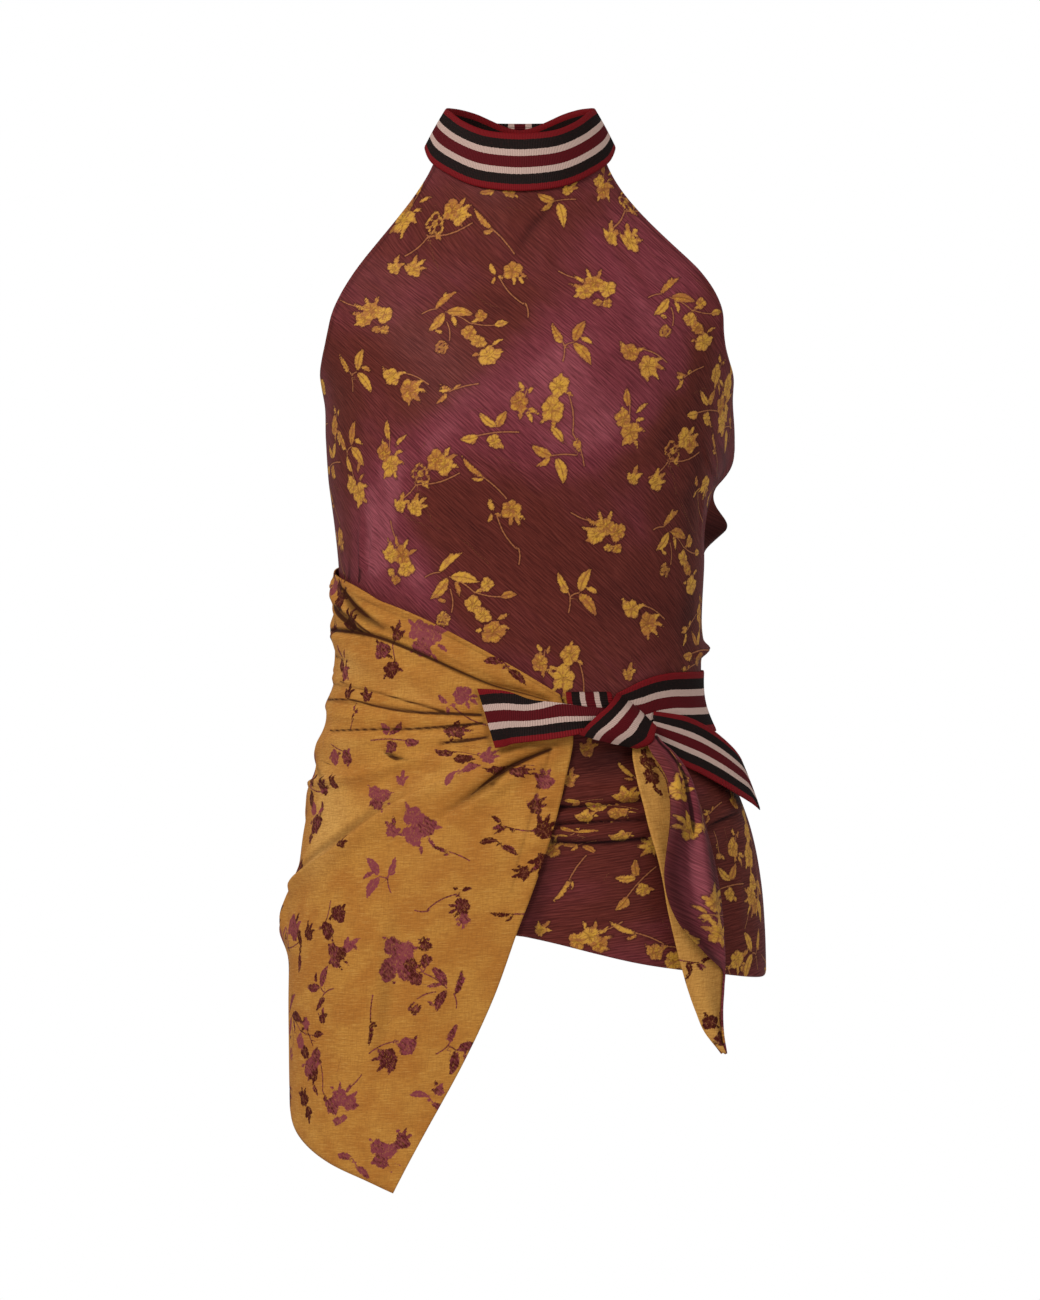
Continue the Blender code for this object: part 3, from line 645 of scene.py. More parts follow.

# Sprigs set one by one where the front shows them: kind, x and y in the view, turn, size,
# mirror, and for some an upright squash and a base tone.
# A low base tone dims a sprig that lies in shade and a high one brightens a lit one: painted shade and painted light on
# the sprigs.
FRONT_SPRIGS = [
    ("plume", 396, 224, -18, 0.95, 1), ("garland", 448, 223, 0, 1.0, 1), ("flower", 413, 268, 0, 1.0, 1),
    ("small_flower", 395, 267, 0, 1.0, 1), ("needle", 491.5, 237, 0, 1.0, 1), ("vee", 510.7, 193, 4, 0.95, 1),
    ("leaf_trio", 558, 213.5, 0, 1.0, 1), ("small_flower", 571, 200, -20, 1.1, 1), ("plume", 614, 203, 0, 0.95, 1),
    ("garland", 660, 214, 0, 0.95, 1), ("flower", 636.5, 247, 0, 1.0, 1), ("small_flower", 619, 244, 0, 1.0, 1),
    ("stem_blossom", 513, 273, 0, 1.0, 1), ("ray_cluster", 593, 286, 0, 1.0, 1), ("branch", 670, 296, 0, 0.98, 1),
    ("ray_cluster", 371, 313, 0, 1.0, 1), ("branch", 445.5, 310.5, 0, 1.0, 1), ("three_leaf", 573.5, 342.6, 0, 1.0, 1),
    ("three_leaf", 357, 372, 0, 1.0, 1), ("fringe_pair", 641, 360, 0, 1.0, 1), ("twig", 684, 378, 20, 0.95, 1),
    ("fringe_pair", 402, 384, 0, 1.0, 1), ("twig", 449, 392, 8, 1.0, 1), ("ray_blossom", 520, 404, 0, 1.0, 1),
    ("stacked", 552, 409.5, 0, 1.0, 1), ("leaf_trio", 553, 456.5, 0, 1.0, 1), ("plume", 629, 424, 0, 1.0, 1),
    ("vee", 498, 433, 0, 1.0, 1), ("plume", 389, 457, 0, 1.0, 1), ("garland", 438, 463, 0, 1.0, 1),
    ("garland", 686, 441, 0, 1.0, 1), ("flower", 655.5, 481, 0, 1.0, 1), ("small_flower", 634, 477, 0, 1.0, 1),
    ("flower", 415, 506, 0, 1.0, 1), ("small_flower", 401, 504, 0, 1.0, 1), ("needle", 483, 477, 0, 1.0, 1),
    ("three_leaf", 351, 447, 10, 1.0, 1), ("plume", 356, 487, 24, 1.0, 1), ("plume", 722, 412, -6, 1.1, 1),
    ("stem_blossom", 511, 512, -8, 1.0, 1), ("ray_cluster", 604, 529, 0, 1.0, 1), ("branch", 670, 530, -6, 1.0, 1),
    ("ray_cluster", 400, 556, -48, 1.0, 1), ("branch", 449.5, 575, -3, 1.08, 1), ("three_leaf", 579, 593, 0, 1.0, 1),
    ("flower", 709, 499, 0, 0.9, 1), ("needle", 716, 452, -16, 0.9, 1), ("fringe_pair", 641.5, 617, 0, 1.0, 1),
    ("twig", 687, 631, 28, 1.0, 1), ("stacked", 563, 678, 0, 1.0, 1), ("ray_blossom", 541, 664, 10, 0.9, 1),
    ("small_flower", 704, 655, 0, 1.0, 1), ("small_flower", 629, 673, 0, 0.9, 1), ("twig", 686, 671, 10, 0.8, 1),
    # below the belt
    ("needle", 634, 777, 0, 0.85, 1), ("small_flower", 588, 748, 0, 1.1, 1, 1.0, 0.1), ("small_flower", 570, 779, 0, 1.0, 1, 1.0, 0.1),
    ("leaf_trio", 582, 802, 10, 0.9, 1, 0.42), ("flower", 624, 796, 20, 1.5, 1, 0.5), ("flower", 583, 816.5, 0, 1.1, 1, 0.5),
    ("fringe_pair", 608, 810.5, 0, 1.0, 1, 0.45), ("three_leaf", 574, 832.5, 60, 0.9, 1, 0.32), ("flower", 618, 836.5, 0, 1.2, 1, 0.4),
    ("leaf_trio", 579, 845, 20, 0.8, 1, 0.5, 0.1), ("flower", 551, 849, 30, 0.9, 1), ("flower", 650, 847, 140, 1.0, 1),
    ("vee", 641, 881, 38, 1.0, 1), ("needle", 569, 880, 98, 0.9, 1), ("ray_cluster", 591, 938, 0, 0.95, -1),
    ("needle", 636, 933, 20, 1.0, 1), ("small_flower", 542, 929, -30, 0.9, 1), ("fringe_pair", 666, 957, 8, 0.9, 1),
    ("ray_cluster", 752, 897, 84, 0.95, 1), ("three_leaf", 752, 953, 8, 1.0, -1), ("twig", 719, 853, 100, 0.75, 1),
    ("twig", 709, 814, 20, 0.8, 1), ("flower", 733, 801, 10, 0.9, 1), ("small_flower", 744, 814, 0, 1.1, 1),
    ("stem_blossom", 690, 905, 0, 1.0, 1),
]
# Here the base tone paints light and shade on the sprigs: high for the lit, mauve ones, low for the shaded, dark ones.
WRAP_SPRIGS = [
    ("two_flowers", 387, 657.5, 0, 0.95, 1, 1.0, 0.25), ("small_flower", 398, 632.5, -20, 1.0, -1, 1.0, 0.15),
    ("big_cluster", 425.7, 638.5, 0, 1.0, 1, 1.0, 0.85), ("leaf_pair", 505, 667, 0, 0.95, 1, 1.0, 0.2),
    ("stem_blossom", 463, 697, 20, 1.0, 1, 0.95, 0.8), ("plume", 344, 668, 20, 0.7, 1, 1.0, 0.4),
    ("small_flower", 349, 693, 0, 1.0, 1, 0.8, 0.0), ("small_flower", 366.5, 696, 0, 1.0, -1, 0.8, 0.15), ("twig", 356, 714, 240, 0.6, 1, 1.0, 0.3),
    ("vee", 389, 741, 6, 0.9, -1, 0.95, 0.6), ("flower", 454, 731, 0, 1.4, 1, 0.5, 0.15), ("twig", 454, 741, 0, 0.9, 1, 0.5, 0.0),
    ("two_flowers", 340, 758, 62, 0.85, 1, 0.9, 0.6), ("fringe_pair", 455, 757, 0, 0.9, 1, 0.42, 0.2), ("flower", 487, 757, 0, 0.9, 1, 0.8, 0.9),
    ("leaf_pair", 459, 774, 62, 0.8, 1, 1.0, 0.8), ("fringe_pair", 509, 772, 28, 0.9, 1, 0.5, 0.15), ("small_flower", 401, 780, 0, 0.8, 1, 1.0, 0.9),
    ("flower", 543.6, 782, 60, 1.0, 1, 1.0, 0.45), ("flower", 535, 806, 0, 0.9, 1, 1.0, 0.35), ("flower", 543, 830, 30, 1.1, 1, 1.0, 0.15),
    ("flower", 541.5, 862, 80, 1.0, -1, 1.0, 0.1), ("flower", 523, 874, 120, 0.8, 1, 1.0, 0.1),
    ("flower", 325, 788, 0, 0.85, 1, 1.0, 0.1), ("small_flower", 336, 784, 40, 0.8, 1, 1.0, 0.1), ("leaf_pair", 320, 815, 280, 0.62, 1, 1.0, 0.15),
    ("big_cluster", 378.5, 799, 0, 0.72, 1, 0.9, 0.75), ("big_cluster", 418, 829, -20, 1.0, 1, 1.0, 0.75), ("small_flower", 392.4, 830, -30, 1.0, -1, 1.0, 0.6),
    ("needle", 448, 852, 20, 0.7, 1, 1.0, 0.4), ("three_leaf", 378, 877, 8, 0.95, -1, 0.9, 0.9), ("small_flower", 346.5, 843.5, 0, 0.9, 1, 0.7, 0.1),
    ("flower", 303, 868, 60, 0.8, 1, 1.0, 0.2), ("small_flower", 311, 838.7, 0, 0.7, 1, 1.0, 0.1), ("twig", 503, 826, 176, 1.0, -1, 1.0, 0.25),
    ("leaf_pair", 498, 845, 12, 0.8, 1, 1.0, 0.1), ("stem_blossom", 459.5, 906, -100, 0.85, 1, 1.0, 0.2), ("flower", 464, 920, 180, 0.7, 1, 1.0, 0.7),
    ("branch", 447.5, 987, -62, 0.95, -1, 1.0, 0.5), ("big_cluster", 398, 955, 0, 0.95, 1, 1.0, 0.75), ("flower", 411, 966, 200, 0.9, 1, 1.0, 0.1),
    ("two_flowers", 333, 920, -8, 1.0, -1, 0.95, 0.15), ("flower", 308, 933, 20, 0.85, 1, 1.0, 0.1), ("big_cluster", 337, 956, 0, 0.72, 1, 0.9, 0.3),
    ("small_flower", 350, 945, -40, 1.0, 1, 1.0, 0.8), ("leaf_pair", 300, 950, 305, 0.85, 1, 1.0, 0.1), ("three_leaf", 320, 987, 118, 0.85, 1, 1.0, 0.4),
    ("small_flower", 322, 1017, 10, 0.8, 1, 1.0, 0.3), ("needle", 369, 1022, 128, 0.85, 1, 1.0, 0.05), ("fringe_pair", 395, 1053, 0, 1.0, -1, 1.0, 0.45),
    ("twig", 304, 1025, 300, 0.8, 1, 1.0, 0.1), ("stacked", 312, 1072, 0, 0.72, 1, 1.0, 0.3), ("flower", 303, 1099, 70, 0.9, 1, 1.0, 0.05),
    ("small_flower", 308, 1113, 200, 0.9, 1, 1.0, 0.1), ("ray_cluster", 340, 1099, 22, 0.95, -1, 1.0, 0.7), ("three_leaf", 455, 1050, -50, 0.9, 1, 1.0, 0.5),
    ("leaf_pair", 428, 1100, 0, 0.85, 1, 1.0, 0.75), ("small_flower", 438, 1089, 40, 0.8, 1, 1.0, 0.5), ("flower", 400, 1140, 30, 0.95, 1, 1.0, 0.6),
    ("big_cluster", 382, 1154, 0, 0.8, 1, 1.0, 0.75), ("leaf_pair", 352, 1163, 0, 0.9, 1, 1.0, 0.6), ("needle", 512, 914, 40, 0.8, 1, 1.0, 0.1),
    ("flower", 424, 945, 60, 0.7, 1, 1.0, 0.15), ("plume", 341, 593, 0, 0.9, 1, 1.0, 0.1), ("flower", 352, 622, 30, 1.1, 1, 1.0, 0.0),
    ("flower", 336, 631, 0, 0.9, 1, 1.0, 0.2),
]
# Creases as the front shows them.
FRONT_CREASES = [
    ("pull under the collar, first", [(556, 197), (538, 206), (515, 222), (493, 250)], 5, 6, (1.0, 2.2, 0.0), 0.9),
    ("pull under the collar, hollow", [(560, 212), (545, 226), (528, 241), (513, 262)], 4.5, 4.5, (-0.6, -1.9, 0.0), 0),
    ("pull under the collar, second", [(572, 224), (553, 247), (536, 274)], 5, 6, (0.6, 1.5, 0.0), 0.4),
    ("pull under the collar, right", [(596, 180), (580, 196), (566, 214)], 2.2, 2.6, (1.3, 0.8, 0.0), 0.9),
    ("pull under the collar, far right", [(606, 188), (598, 206), (592, 226)], 2.4, 3.0, (1.0, 0.7, 0.0), 0.7),
    ("right neck edge", [(574, 205), (590, 192), (606, 180)], 2, 3, (0.0, 0.9, 0.9), 0.5),
    ("left waist, outer", [(361, 566), (361, 535), (362, 508)], 2.0, 2.0, (2.0, 1.4, 0.2), 0),
    ("left waist, inner", [(371, 568), (374, 540), (373, 510)], 2.2, 2.2, (2.2, 1.7, 0.2), 0),
    ("pocket between", [(366.5, 568), (367.5, 545), (367, 520)], 1.8, 1.8, (-2.6, -1.4, 0.0), 0),
    ("right pinch line", [(703, 440), (711, 466), (717, 488)], 1.3, 2.6, (0.3, 1.1, 1.3), 0.9),
    ("hollow under the roll", [(711, 496), (714, 520), (710, 546)], 4, 4, (-1.0, -3.0, -1.2), 0),
    ("fold beside the hollow", [(700, 470), (703, 505), (701, 548)], 2.8, 3.8, (0.0, 0.9, 0.0), 0.4),
    ("right armhole drag", [(690, 300), (702, 340), (712, 380)], 7, 7, (0.0, 1.2, 0.0), 0),
    ("chest, broad", [(430, 440), (520, 400), (610, 390)], 26, 26, (0.0, 1.2, 0.0), 0),
    ("under the bust, broad", [(380, 520), (460, 560), (540, 640)], 16, 18, (0.4, 1.0, 0.8), 0),
    ("towards the knot", [(470, 560), (540, 630), (590, 670)], 5, 6, (0.0, 0.5, 0.6), 0.3),
    ("towards the knot, right", [(690, 600), (650, 640), (620, 668)], 5, 5, (0.0, 0.5, 0.6), 0.3),
    ("under the knot, first", [(560, 797), (590, 792), (640, 795)], 3.6, 3.0, (1.0, 2.4, 1.8), 0.8),
    ("under the knot, first hollow", [(557, 808), (596, 806), (642, 802)], 1.8, 1.8, (-1.6, -2.4, -1.2), 0),
    ("under the knot, second", [(556, 817), (599, 813), (644, 812)], 2.8, 2.6, (1.2, 2.2, 1.8), 0.6),
    ("under the knot, second hollow", [(556, 825), (600, 822.5), (645, 821)], 1.7, 1.7, (-1.4, -2.2, -1.6), 0),
    ("under the knot, third", [(553, 832), (590, 834), (646.5, 829)], 2.6, 2.6, (1.4, 2.4, 1.8), 0.6),
    ("under the knot, third hollow", [(552, 841), (596, 842.5), (648, 839)], 1.9, 3.2, (-1.6, -2.8, -2.0), 0),
    ("under the knot, fourth", [(548, 853), (596, 855), (648, 852)], 4, 7, (0.6, 1.4, 0.8), 0),
    ("below the knot", [(545, 757), (570, 760), (612, 752)], 4, 5, (0.6, 0.8, 0.3), 0.5),
    ("right of the tail", [(705, 829), (720, 821), (735.5, 813)], 1.8, 2.2, (-1.0, -1.6, -0.6), 0),
    ("right of the tail, above it", [(705, 821), (722, 812), (742, 806)], 4, 3.4, (0.6, 1.0, 0.4), 0),
    ("skirt, right, upright", [(735, 850), (738, 900), (740, 950)], 8, 8, (0.0, 1.2, 0.6), 0),
    ("skirt, middle, upright", [(600, 860), (596, 905), (590, 945)], 12, 12, (0.0, 1.0, 0.8), 0),
]
FRONT_HIDDEN = [
    ("tuck above the belt's right side", [(66, -341), (78, -338.5), (92, -334)], 2.8, 4.0, (0.8, 5.5, 4.5), 0.6),
]
# Painted shade where the folds press shut and beside the parts that shade the cloth: path, widths and depth of the
# painted shade.
FRONT_PAINTED_SHADE = [
    ("right edge below the shoulder", [(721, 450), (723, 470), (722, 492)], 3.5, 3.5, (0.20, 0.40, 0.30), 0),
    ("first hollow", [(557, 807), (596, 805.5), (642, 801)], 1.5, 1.5, (0.60, 0.55, 0.35), 0),
    ("second hollow", [(556, 824), (600, 822), (645, 820)], 1.3, 1.3, (0.45, 0.50, 0.40), 0),
    ("third hollow", [(551, 841), (596, 843), (648, 839)], 1.6, 2.2, (0.60, 0.66, 0.60), 0),
    ("under the knot's belt", [(560, 748), (600, 755), (642, 753)], 6.0, 9.0, (0.45, 0.52, 0.42), 0),
    ("beside the tail", [(650, 800), (661, 850), (674, 905)], 3.4, 4.6, (0.40, 0.66, 0.45), 0),
    ("right of the tail", [(705, 829), (720, 821), (738, 812)], 1.5, 1.7, (0.45, 0.60, 0.35), 0),
    ("under the right end", [(700, 776), (725, 789), (748, 802)], 3.5, 5.0, (0.35, 0.45, 0.55), 0),
    ("hollow under the right roll", [(716, 502), (719, 522), (715, 544)], 5.0, 5.0, (0.35, 0.80, 0.55), 0),
    ("right pinch", [(703, 440), (710, 466), (716, 486)], 0.9, 1.3, (0.25, 0.45, 0.45), 0),
    ("left waist hollow", [(351, 524), (350, 550), (349, 578)], 2.6, 2.6, (0.0, 0.12, 0.70), 0),
    ("left waist pocket", [(360, 578), (360, 556), (357, 532)], 1.4, 1.4, (0.60, 0.45, 0.10), 0),
    ("pull under the collar", [(560, 212), (545, 226), (528, 241), (513, 262)], 3.2, 3.2, (0.25, 0.40, 0.0), 0),
    ("under the collar, middle", [(455, 196), (520, 207), (585, 196)], 9.0, 9.0, (0.05, 0.14, 0.05), 0),
    ("beside the wrap's edge", [(556, 800), (546, 860), (530, 930)], 9.0, 9.0, (0.20, 0.40, 0.52), 0),
]
WRAP_PAINTED_SHADE = [
    ("under the top strip", [(345, 631), (367, 634), (393, 642), (429, 658), (458, 672), (488, 684), (518, 692), (551, 701)], 0.8, 1.2, (0.70, 0.56, 0.36), 0),
    ("left crumple", [(341, 588), (352, 606), (372, 621), (392, 630)], 2.6, 2.6, (0.75, 0.72, 0.20), 0),
    ("left crumple, lower", [(336, 604), (348, 619), (364, 632)], 2.8, 2.8, (0.60, 0.75, 0.70), 0),
    ("left crumple, between", [(352, 598), (368, 616), (384, 628)], 1.2, 1.4, (0.20, 0.45, 0.30), 0),
    ("under the crumple", [(332, 629), (350, 631), (372, 635)], 1.6, 1.6, (0.45, 0.75, 0.55), 0),
    ("third line", [(364, 703), (399, 710), (429, 713.5), (458, 715), (482, 715.5)], 0.7, 0.8, (0.20, 0.66, 0.70), 0),
    ("third line, branch", [(330, 683), (360, 688), (403, 700), (436, 709)], 0.7, 0.8, (0.45, 0.30, 0.42), 0),
    ("fourth line", [(333, 733), (369, 730.5), (436, 729), (482, 724)], 0.7, 0.8, (0.40, 0.60, 0.66), 0),
    ("short crease", [(385, 752), (395, 758), (408, 761)], 0.9, 1.1, (0.40, 0.68, 0.30), 0),
    ("fifth line", [(440, 744), (462, 742), (487, 738)], 1.2, 1.2, (0.50, 0.72, 0.60), 0),
    ("deep crease", [(492, 785), (511, 768), (530, 758), (547, 751)], 1.6, 1.5, (0.40, 0.72, 0.45), 0),
    ("deep crease, its long end", [(446, 816), (464, 803), (492, 785)], 2.2, 2.6, (0.0, 0.28, 0.40), 0),
    ("above the diagonal", [(312, 872), (345, 841), (377, 815), (410, 792)], 2.4, 1.0, (0.12, 0.20, 0.12), 0),
    ("left edge, upper", [(328, 655), (340, 658), (356, 663)], 1.2, 1.2, (0.50, 0.35, 0.0), 0),
    ("left edge, middle", [(328, 700), (342, 702), (360, 703)], 1.2, 1.0, (0.60, 0.35, 0.10), 0),
    ("left edge, lower", [(318, 768), (328, 782), (331, 792)], 1.6, 1.6, (0.45, 0.40, 0.10), 0),
    ("hem band, inner line", [(512, 893), (520, 854), (531, 815), (541, 781), (551, 748)], 0.8, 0.8, (0.20, 0.26, 0.30), 0),
    ("beside the left end", [(476, 690), (484, 718), (491, 748)], 1.4, 1.8, (0.25, 0.30, 0.25), 0),
    ("under the left end", [(494, 752), (520, 748), (556, 745)], 1.2, 2.2, (0.30, 0.42, 0.40), 0),
]
# Thin lines of painted shade at the foot of the sharpest creases: name, path, strength at the start, middle and end.
WRAP_SHADE_LINES = [
    ("under the top strip", [(333, 629.5), (357, 632.5), (381, 638), (411, 650), (436, 661), (470, 676), (495, 686), (522, 693), (550, 701)], (0.98, 0.95, 0.74)),
    ("left crumple", [(340, 584), (351, 602), (364, 614), (381, 624)], (0.95, 1.08, 0.62)),
    ("left crumple, lower", [(335, 605), (346, 619), (362, 631)], (0.90, 1.12, 1.05)),
    ("branch of the crumple", [(350, 611), (358, 622), (370, 632)], (0.60, 0.92, 0.95)),
    ("third line", [(329, 701), (350, 700.5), (373, 706), (398, 711), (423, 713.5), (450, 714), (480, 715.5)], (0.86, 0.95, 1.0)),
    ("third line, branch", [(341, 682), (364, 690), (385, 695), (415, 704), (444, 711.5)], (0.80, 0.84, 0.92)),
    ("fourth line", [(331, 732), (368, 730.5), (406, 730), (440, 727.5), (482, 724)], (0.86, 0.90, 0.96)),
    ("fifth line", [(441, 743.5), (462, 742), (487, 738)], (0.80, 1.0, 0.90)),
    ("short crease", [(381, 751), (394, 759), (407, 761)], (0.60, 1.06, 0.62)),
    ("deep crease", [(458, 806), (482, 786), (503, 771.5), (524, 761), (552, 749.5)], (0.55, 1.10, 0.92)),
    ("first bump's foot", [(326, 655), (338, 658), (352, 664)], (0.92, 0.74, 0.50)),
    ("second bump's foot", [(322, 762), (334, 766), (350, 766)], (0.85, 0.70, 0.50)),
]
# The same painted shade lines on the front.
FRONT_SHADE_LINES = [
    ("first hollow", [(556, 807), (585, 806.5), (622, 804)], (0.98, 0.80, 0.55)),
    ("second hollow", [(556, 825), (590, 822), (640, 820)], (0.74, 0.82, 0.76)),
    ("third hollow", [(552, 842), (598, 842.5), (645, 838)], (0.82, 0.94, 0.96)),
    ("right of the tail", [(708, 826), (724, 818.5), (738, 811)], (0.80, 0.92, 0.55)),
    ("left waist pocket", [(359, 582), (359.5, 558), (357, 534)], (1.02, 0.78, 0.50)),
    ("left waist edge", [(345, 582), (344, 558), (341, 530)], (0.98, 0.78, 0.50)),
]
WRAP_CREASES = [
    ("line under the top strip", [(336, 629), (367, 633), (393, 641), (429, 657), (458, 671), (488, 683), (518, 690.5), (551, 700)], 1.5, 1.5, (-1.88, -2.38, -1.12), 0),
    ("top strip", [(346, 610), (380, 622), (429, 645), (488, 672), (540, 692)], 4.2, 2.6, (1.5, 1.95, 0.6), 0),
    ("top edge", [(344, 591), (399, 608), (468, 642), (510, 667), (556, 703)], 1.6, 1.8, (0.7, 0.8, 0.3), 0.4),
    ("left crumple", [(344, 590), (355.5, 606), (375, 620), (396, 631)], 1.6, 2.2, (-2.4, -2.4, -0.6), 0),
    ("left crumple, lower", [(334, 600), (346, 615), (362, 631)], 2.6, 2.8, (-2.6, -3.2, -0.8), 0),
    ("left bulge", [(333, 582), (337, 599), (345, 611)], 3, 3, (2.08, 2.21, 0.39), 0),
    ("under the crumple", [(336, 636), (352, 639), (372, 642)], 2.4, 3.0, (1.26, 1.54, 0.42), 0),
    ("third line", [(329, 702), (369, 705), (399, 709.5), (429, 713), (458, 714.5), (480, 715)], 1.4, 1.5, (-0.9, -1.7, -2.0), 0),
    ("third line, upper branch", [(364, 693), (401, 700.5), (430, 709)], 1.2, 1.4, (-0.4, -1.2, -0.8), 0),
    ("above the third line", [(340, 694), (390, 698), (432, 705), (479, 709)], 3, 2, (0.3, 0.8, 0.6), 0),
    ("below the third line", [(330, 717), (380, 720), (430, 721), (479, 721)], 3.4, 3.4, (1.32, 1.32, 1.08), 0),
    ("fourth line", [(333, 732.5), (369, 730), (436, 728.5), (482, 724)], 1.3, 1.4, (-1.1, -1.5, -1.2), 0),
    ("below the fourth line", [(330, 741), (390, 740.5), (440, 738), (484, 732)], 4, 4.5, (1.69, 1.43, 1.04), 0),
    ("short crease", [(384, 751), (394, 757.5), (408, 761)], 1.5, 1.6, (-0.8, -2.4, -0.8), 0),
    ("fifth line", [(440, 743), (462, 741), (487, 737)], 1.3, 1.4, (-0.5, -1.3, -1.2), 0),
    ("sixth, lit", [(314, 784), (340, 779), (365, 775), (392, 766), (416, 759), (445, 763)], 1.8, 4.2, (2.38, 2.66, 0.84), 0.9),
    ("sixth, above it", [(330, 768), (370, 762), (402, 756)], 4, 3, (-0.5, -0.9, -0.3), 0),
    ("deep crease", [(443, 815), (460, 802), (486, 784), (511, 766), (547, 750.5)], 2.0, 2.4, (-0.75, -3.75, -3.0), 0),
    ("below the deep crease", [(452, 824), (480, 801), (515, 778), (547, 762)], 3.6, 4.4, (0.84, 2.38, 1.68), 0),
    ("above the deep crease", [(440, 800), (470, 783), (500, 762), (530, 748)], 3.2, 3.2, (0.52, 1.3, 1.56), 0),
    ("long lit diagonal", [(298, 885), (324, 861), (353, 838), (377, 819), (408, 798), (449, 777), (485, 758)], 2.0, 6.0, (2.7, 3.1, 1.35), 0),
    ("above the diagonal", [(305, 868), (340, 838), (372, 812), (405, 790)], 4, 3.2, (-1.89, -2.29, -0.81), 0),
    ("soft, towards the edge", [(500, 846), (487, 868), (470, 893)], 7, 7, (0.5, 0.9, 0.2), 0),
    ("hem band, inner line", [(512, 893), (520, 854), (531, 815), (541, 781), (551, 748)], 1.0, 1.0, (-0.5, -0.6, -0.6), 0),
    ("hem band", [(527, 893), (539, 838), (550, 790), (558, 752)], 3.2, 3.2, (0.7, 0.8, 0.8), 0),
    ("lower, left", [(352, 900), (346, 980), (344, 1070)], 14, 14, (0.56, 1.96, 0.42), 0),
    ("lower, middle", [(432, 900), (420, 1000), (400, 1110)], 16, 16, (0.56, 2.24, 1.12), 0),
    ("lower, between", [(395, 880), (384, 990), (372, 1100)], 12, 12, (-0.39, -1.69, -0.78), 0),
    ("side roll", [(276, 900), (283, 925), (296, 950)], 8, 8, (1.0, 1.6, 0.4), 0.4),
    ("left edge puckers, upper", [(328, 655), (340, 657), (356, 662)], 3, 3, (-1.4, -0.8, 0.0), 0),
    ("left edge puckers, lower", [(330, 678), (345, 681), (366, 686)], 2.6, 3, (1.0, 0.7, 0.0), 0.6),
]
# Creases on the sides that the front view hides: bearing and height of their points.
WRAP_HIDDEN = [
    ("back, top strip", [(-150, -276), (-125, -284), (-98, -292)], 3.4, 2.6, (0.8, 1.2, 1.0), 1.2),
    ("back, second", [(-150, -300), (-124, -312), (-96, -322)], 4, 3.2, (1.0, 1.5, 0.9), 1.2),
    ("back, third", [(-150, -330), (-122, -344), (-94, -352)], 4, 3.2, (0.8, 1.5, 1.1), 1.3),
    ("back, fourth", [(-150, -362), (-120, -372), (-92, -379)], 4.4, 3.4, (0.6, 1.4, 1.0), 1.3),
    ("back, fifth", [(-150, -392), (-118, -404), (-90, -414)], 5, 4, (0.8, 1.6, 0.9), 1.1),
    ("back, sixth", [(-150, -430), (-118, -448), (-92, -452)], 6, 5, (0.6, 1.7, 0.8), 1.0),
    ("back, seventh", [(-150, -470), (-122, -498), (-98, -520)], 7, 6, (0.4, 1.8, 0.9), 0.8),
    ("back, upright", [(-126, -620), (-124, -570), (-128, -520)], 10, 10, (1.2, 1.4, 0.2), 0),
    ("side, upright", [(-100, -650), (-98, -600), (-96, -560)], 9, 9, (1.4, 1.2, 0.2), 0),
]
BACK_CREASES = [
    ("cowl, fine, first", [(112, -212), (140, -250), (180, -276), (220, -252), (246, -214)], 4, 3.4, (0.6, 1.6, 0.5), 1.2),
    ("cowl, fine, second", [(106, -232), (135, -268), (176, -296), (214, -272)], 4, 3.4, (0.9, 1.4, 0.3), 1.1),
    ("cowl, fine, third", [(118, -262), (150, -300), (184, -318), (222, -296)], 5, 4, (0.4, 1.3, 0.4), 0.9),
    ("drag to the belt, right", [(104, -344), (124, -330), (150, -322)], 4, 3.4, (1.2, 1.2, 0.2), 0.9),
    ("drag to the belt, middle", [(150, -346), (176, -340), (200, -344)], 3, 3, (0.4, 1.0, 0.4), 0.7),
    ("gathers below the belt", [(108, -402), (128, -410), (150, -404)], 4, 3.6, (0.5, 1.4, 0.4), 1.0),
    ("gathers below, second", [(140, -418), (166, -426), (196, -414)], 5, 4, (0.4, 1.3, 0.5), 0.9),
    ("upright, right", [(118, -548), (116, -500), (120, -440)], 9, 9, (1.8, 1.4, 0.2), 0),
    ("upright, middle right", [(146, -546), (148, -492), (144, -436)], 10, 10, (1.6, 1.6, 0.2), 0),
    ("upright, middle", [(176, -538), (174, -490), (178, -430)], 9, 9, (1.8, 1.4, 0.2), 0),
    ("upright, left", [(204, -530), (206, -484), (202, -430)], 9, 9, (1.5, 1.4, 0.2), 0),
    ("beside the wrap's seam", [(216, -500), (217, -420), (216, -330)], 3, 3, (-0.5, -0.8, -0.5), 0),
    ("under the right arm", [(97, -200), (108, -212), (122, -236)], 4, 4, (0.6, 1.4, 0.2), 0.8),
]
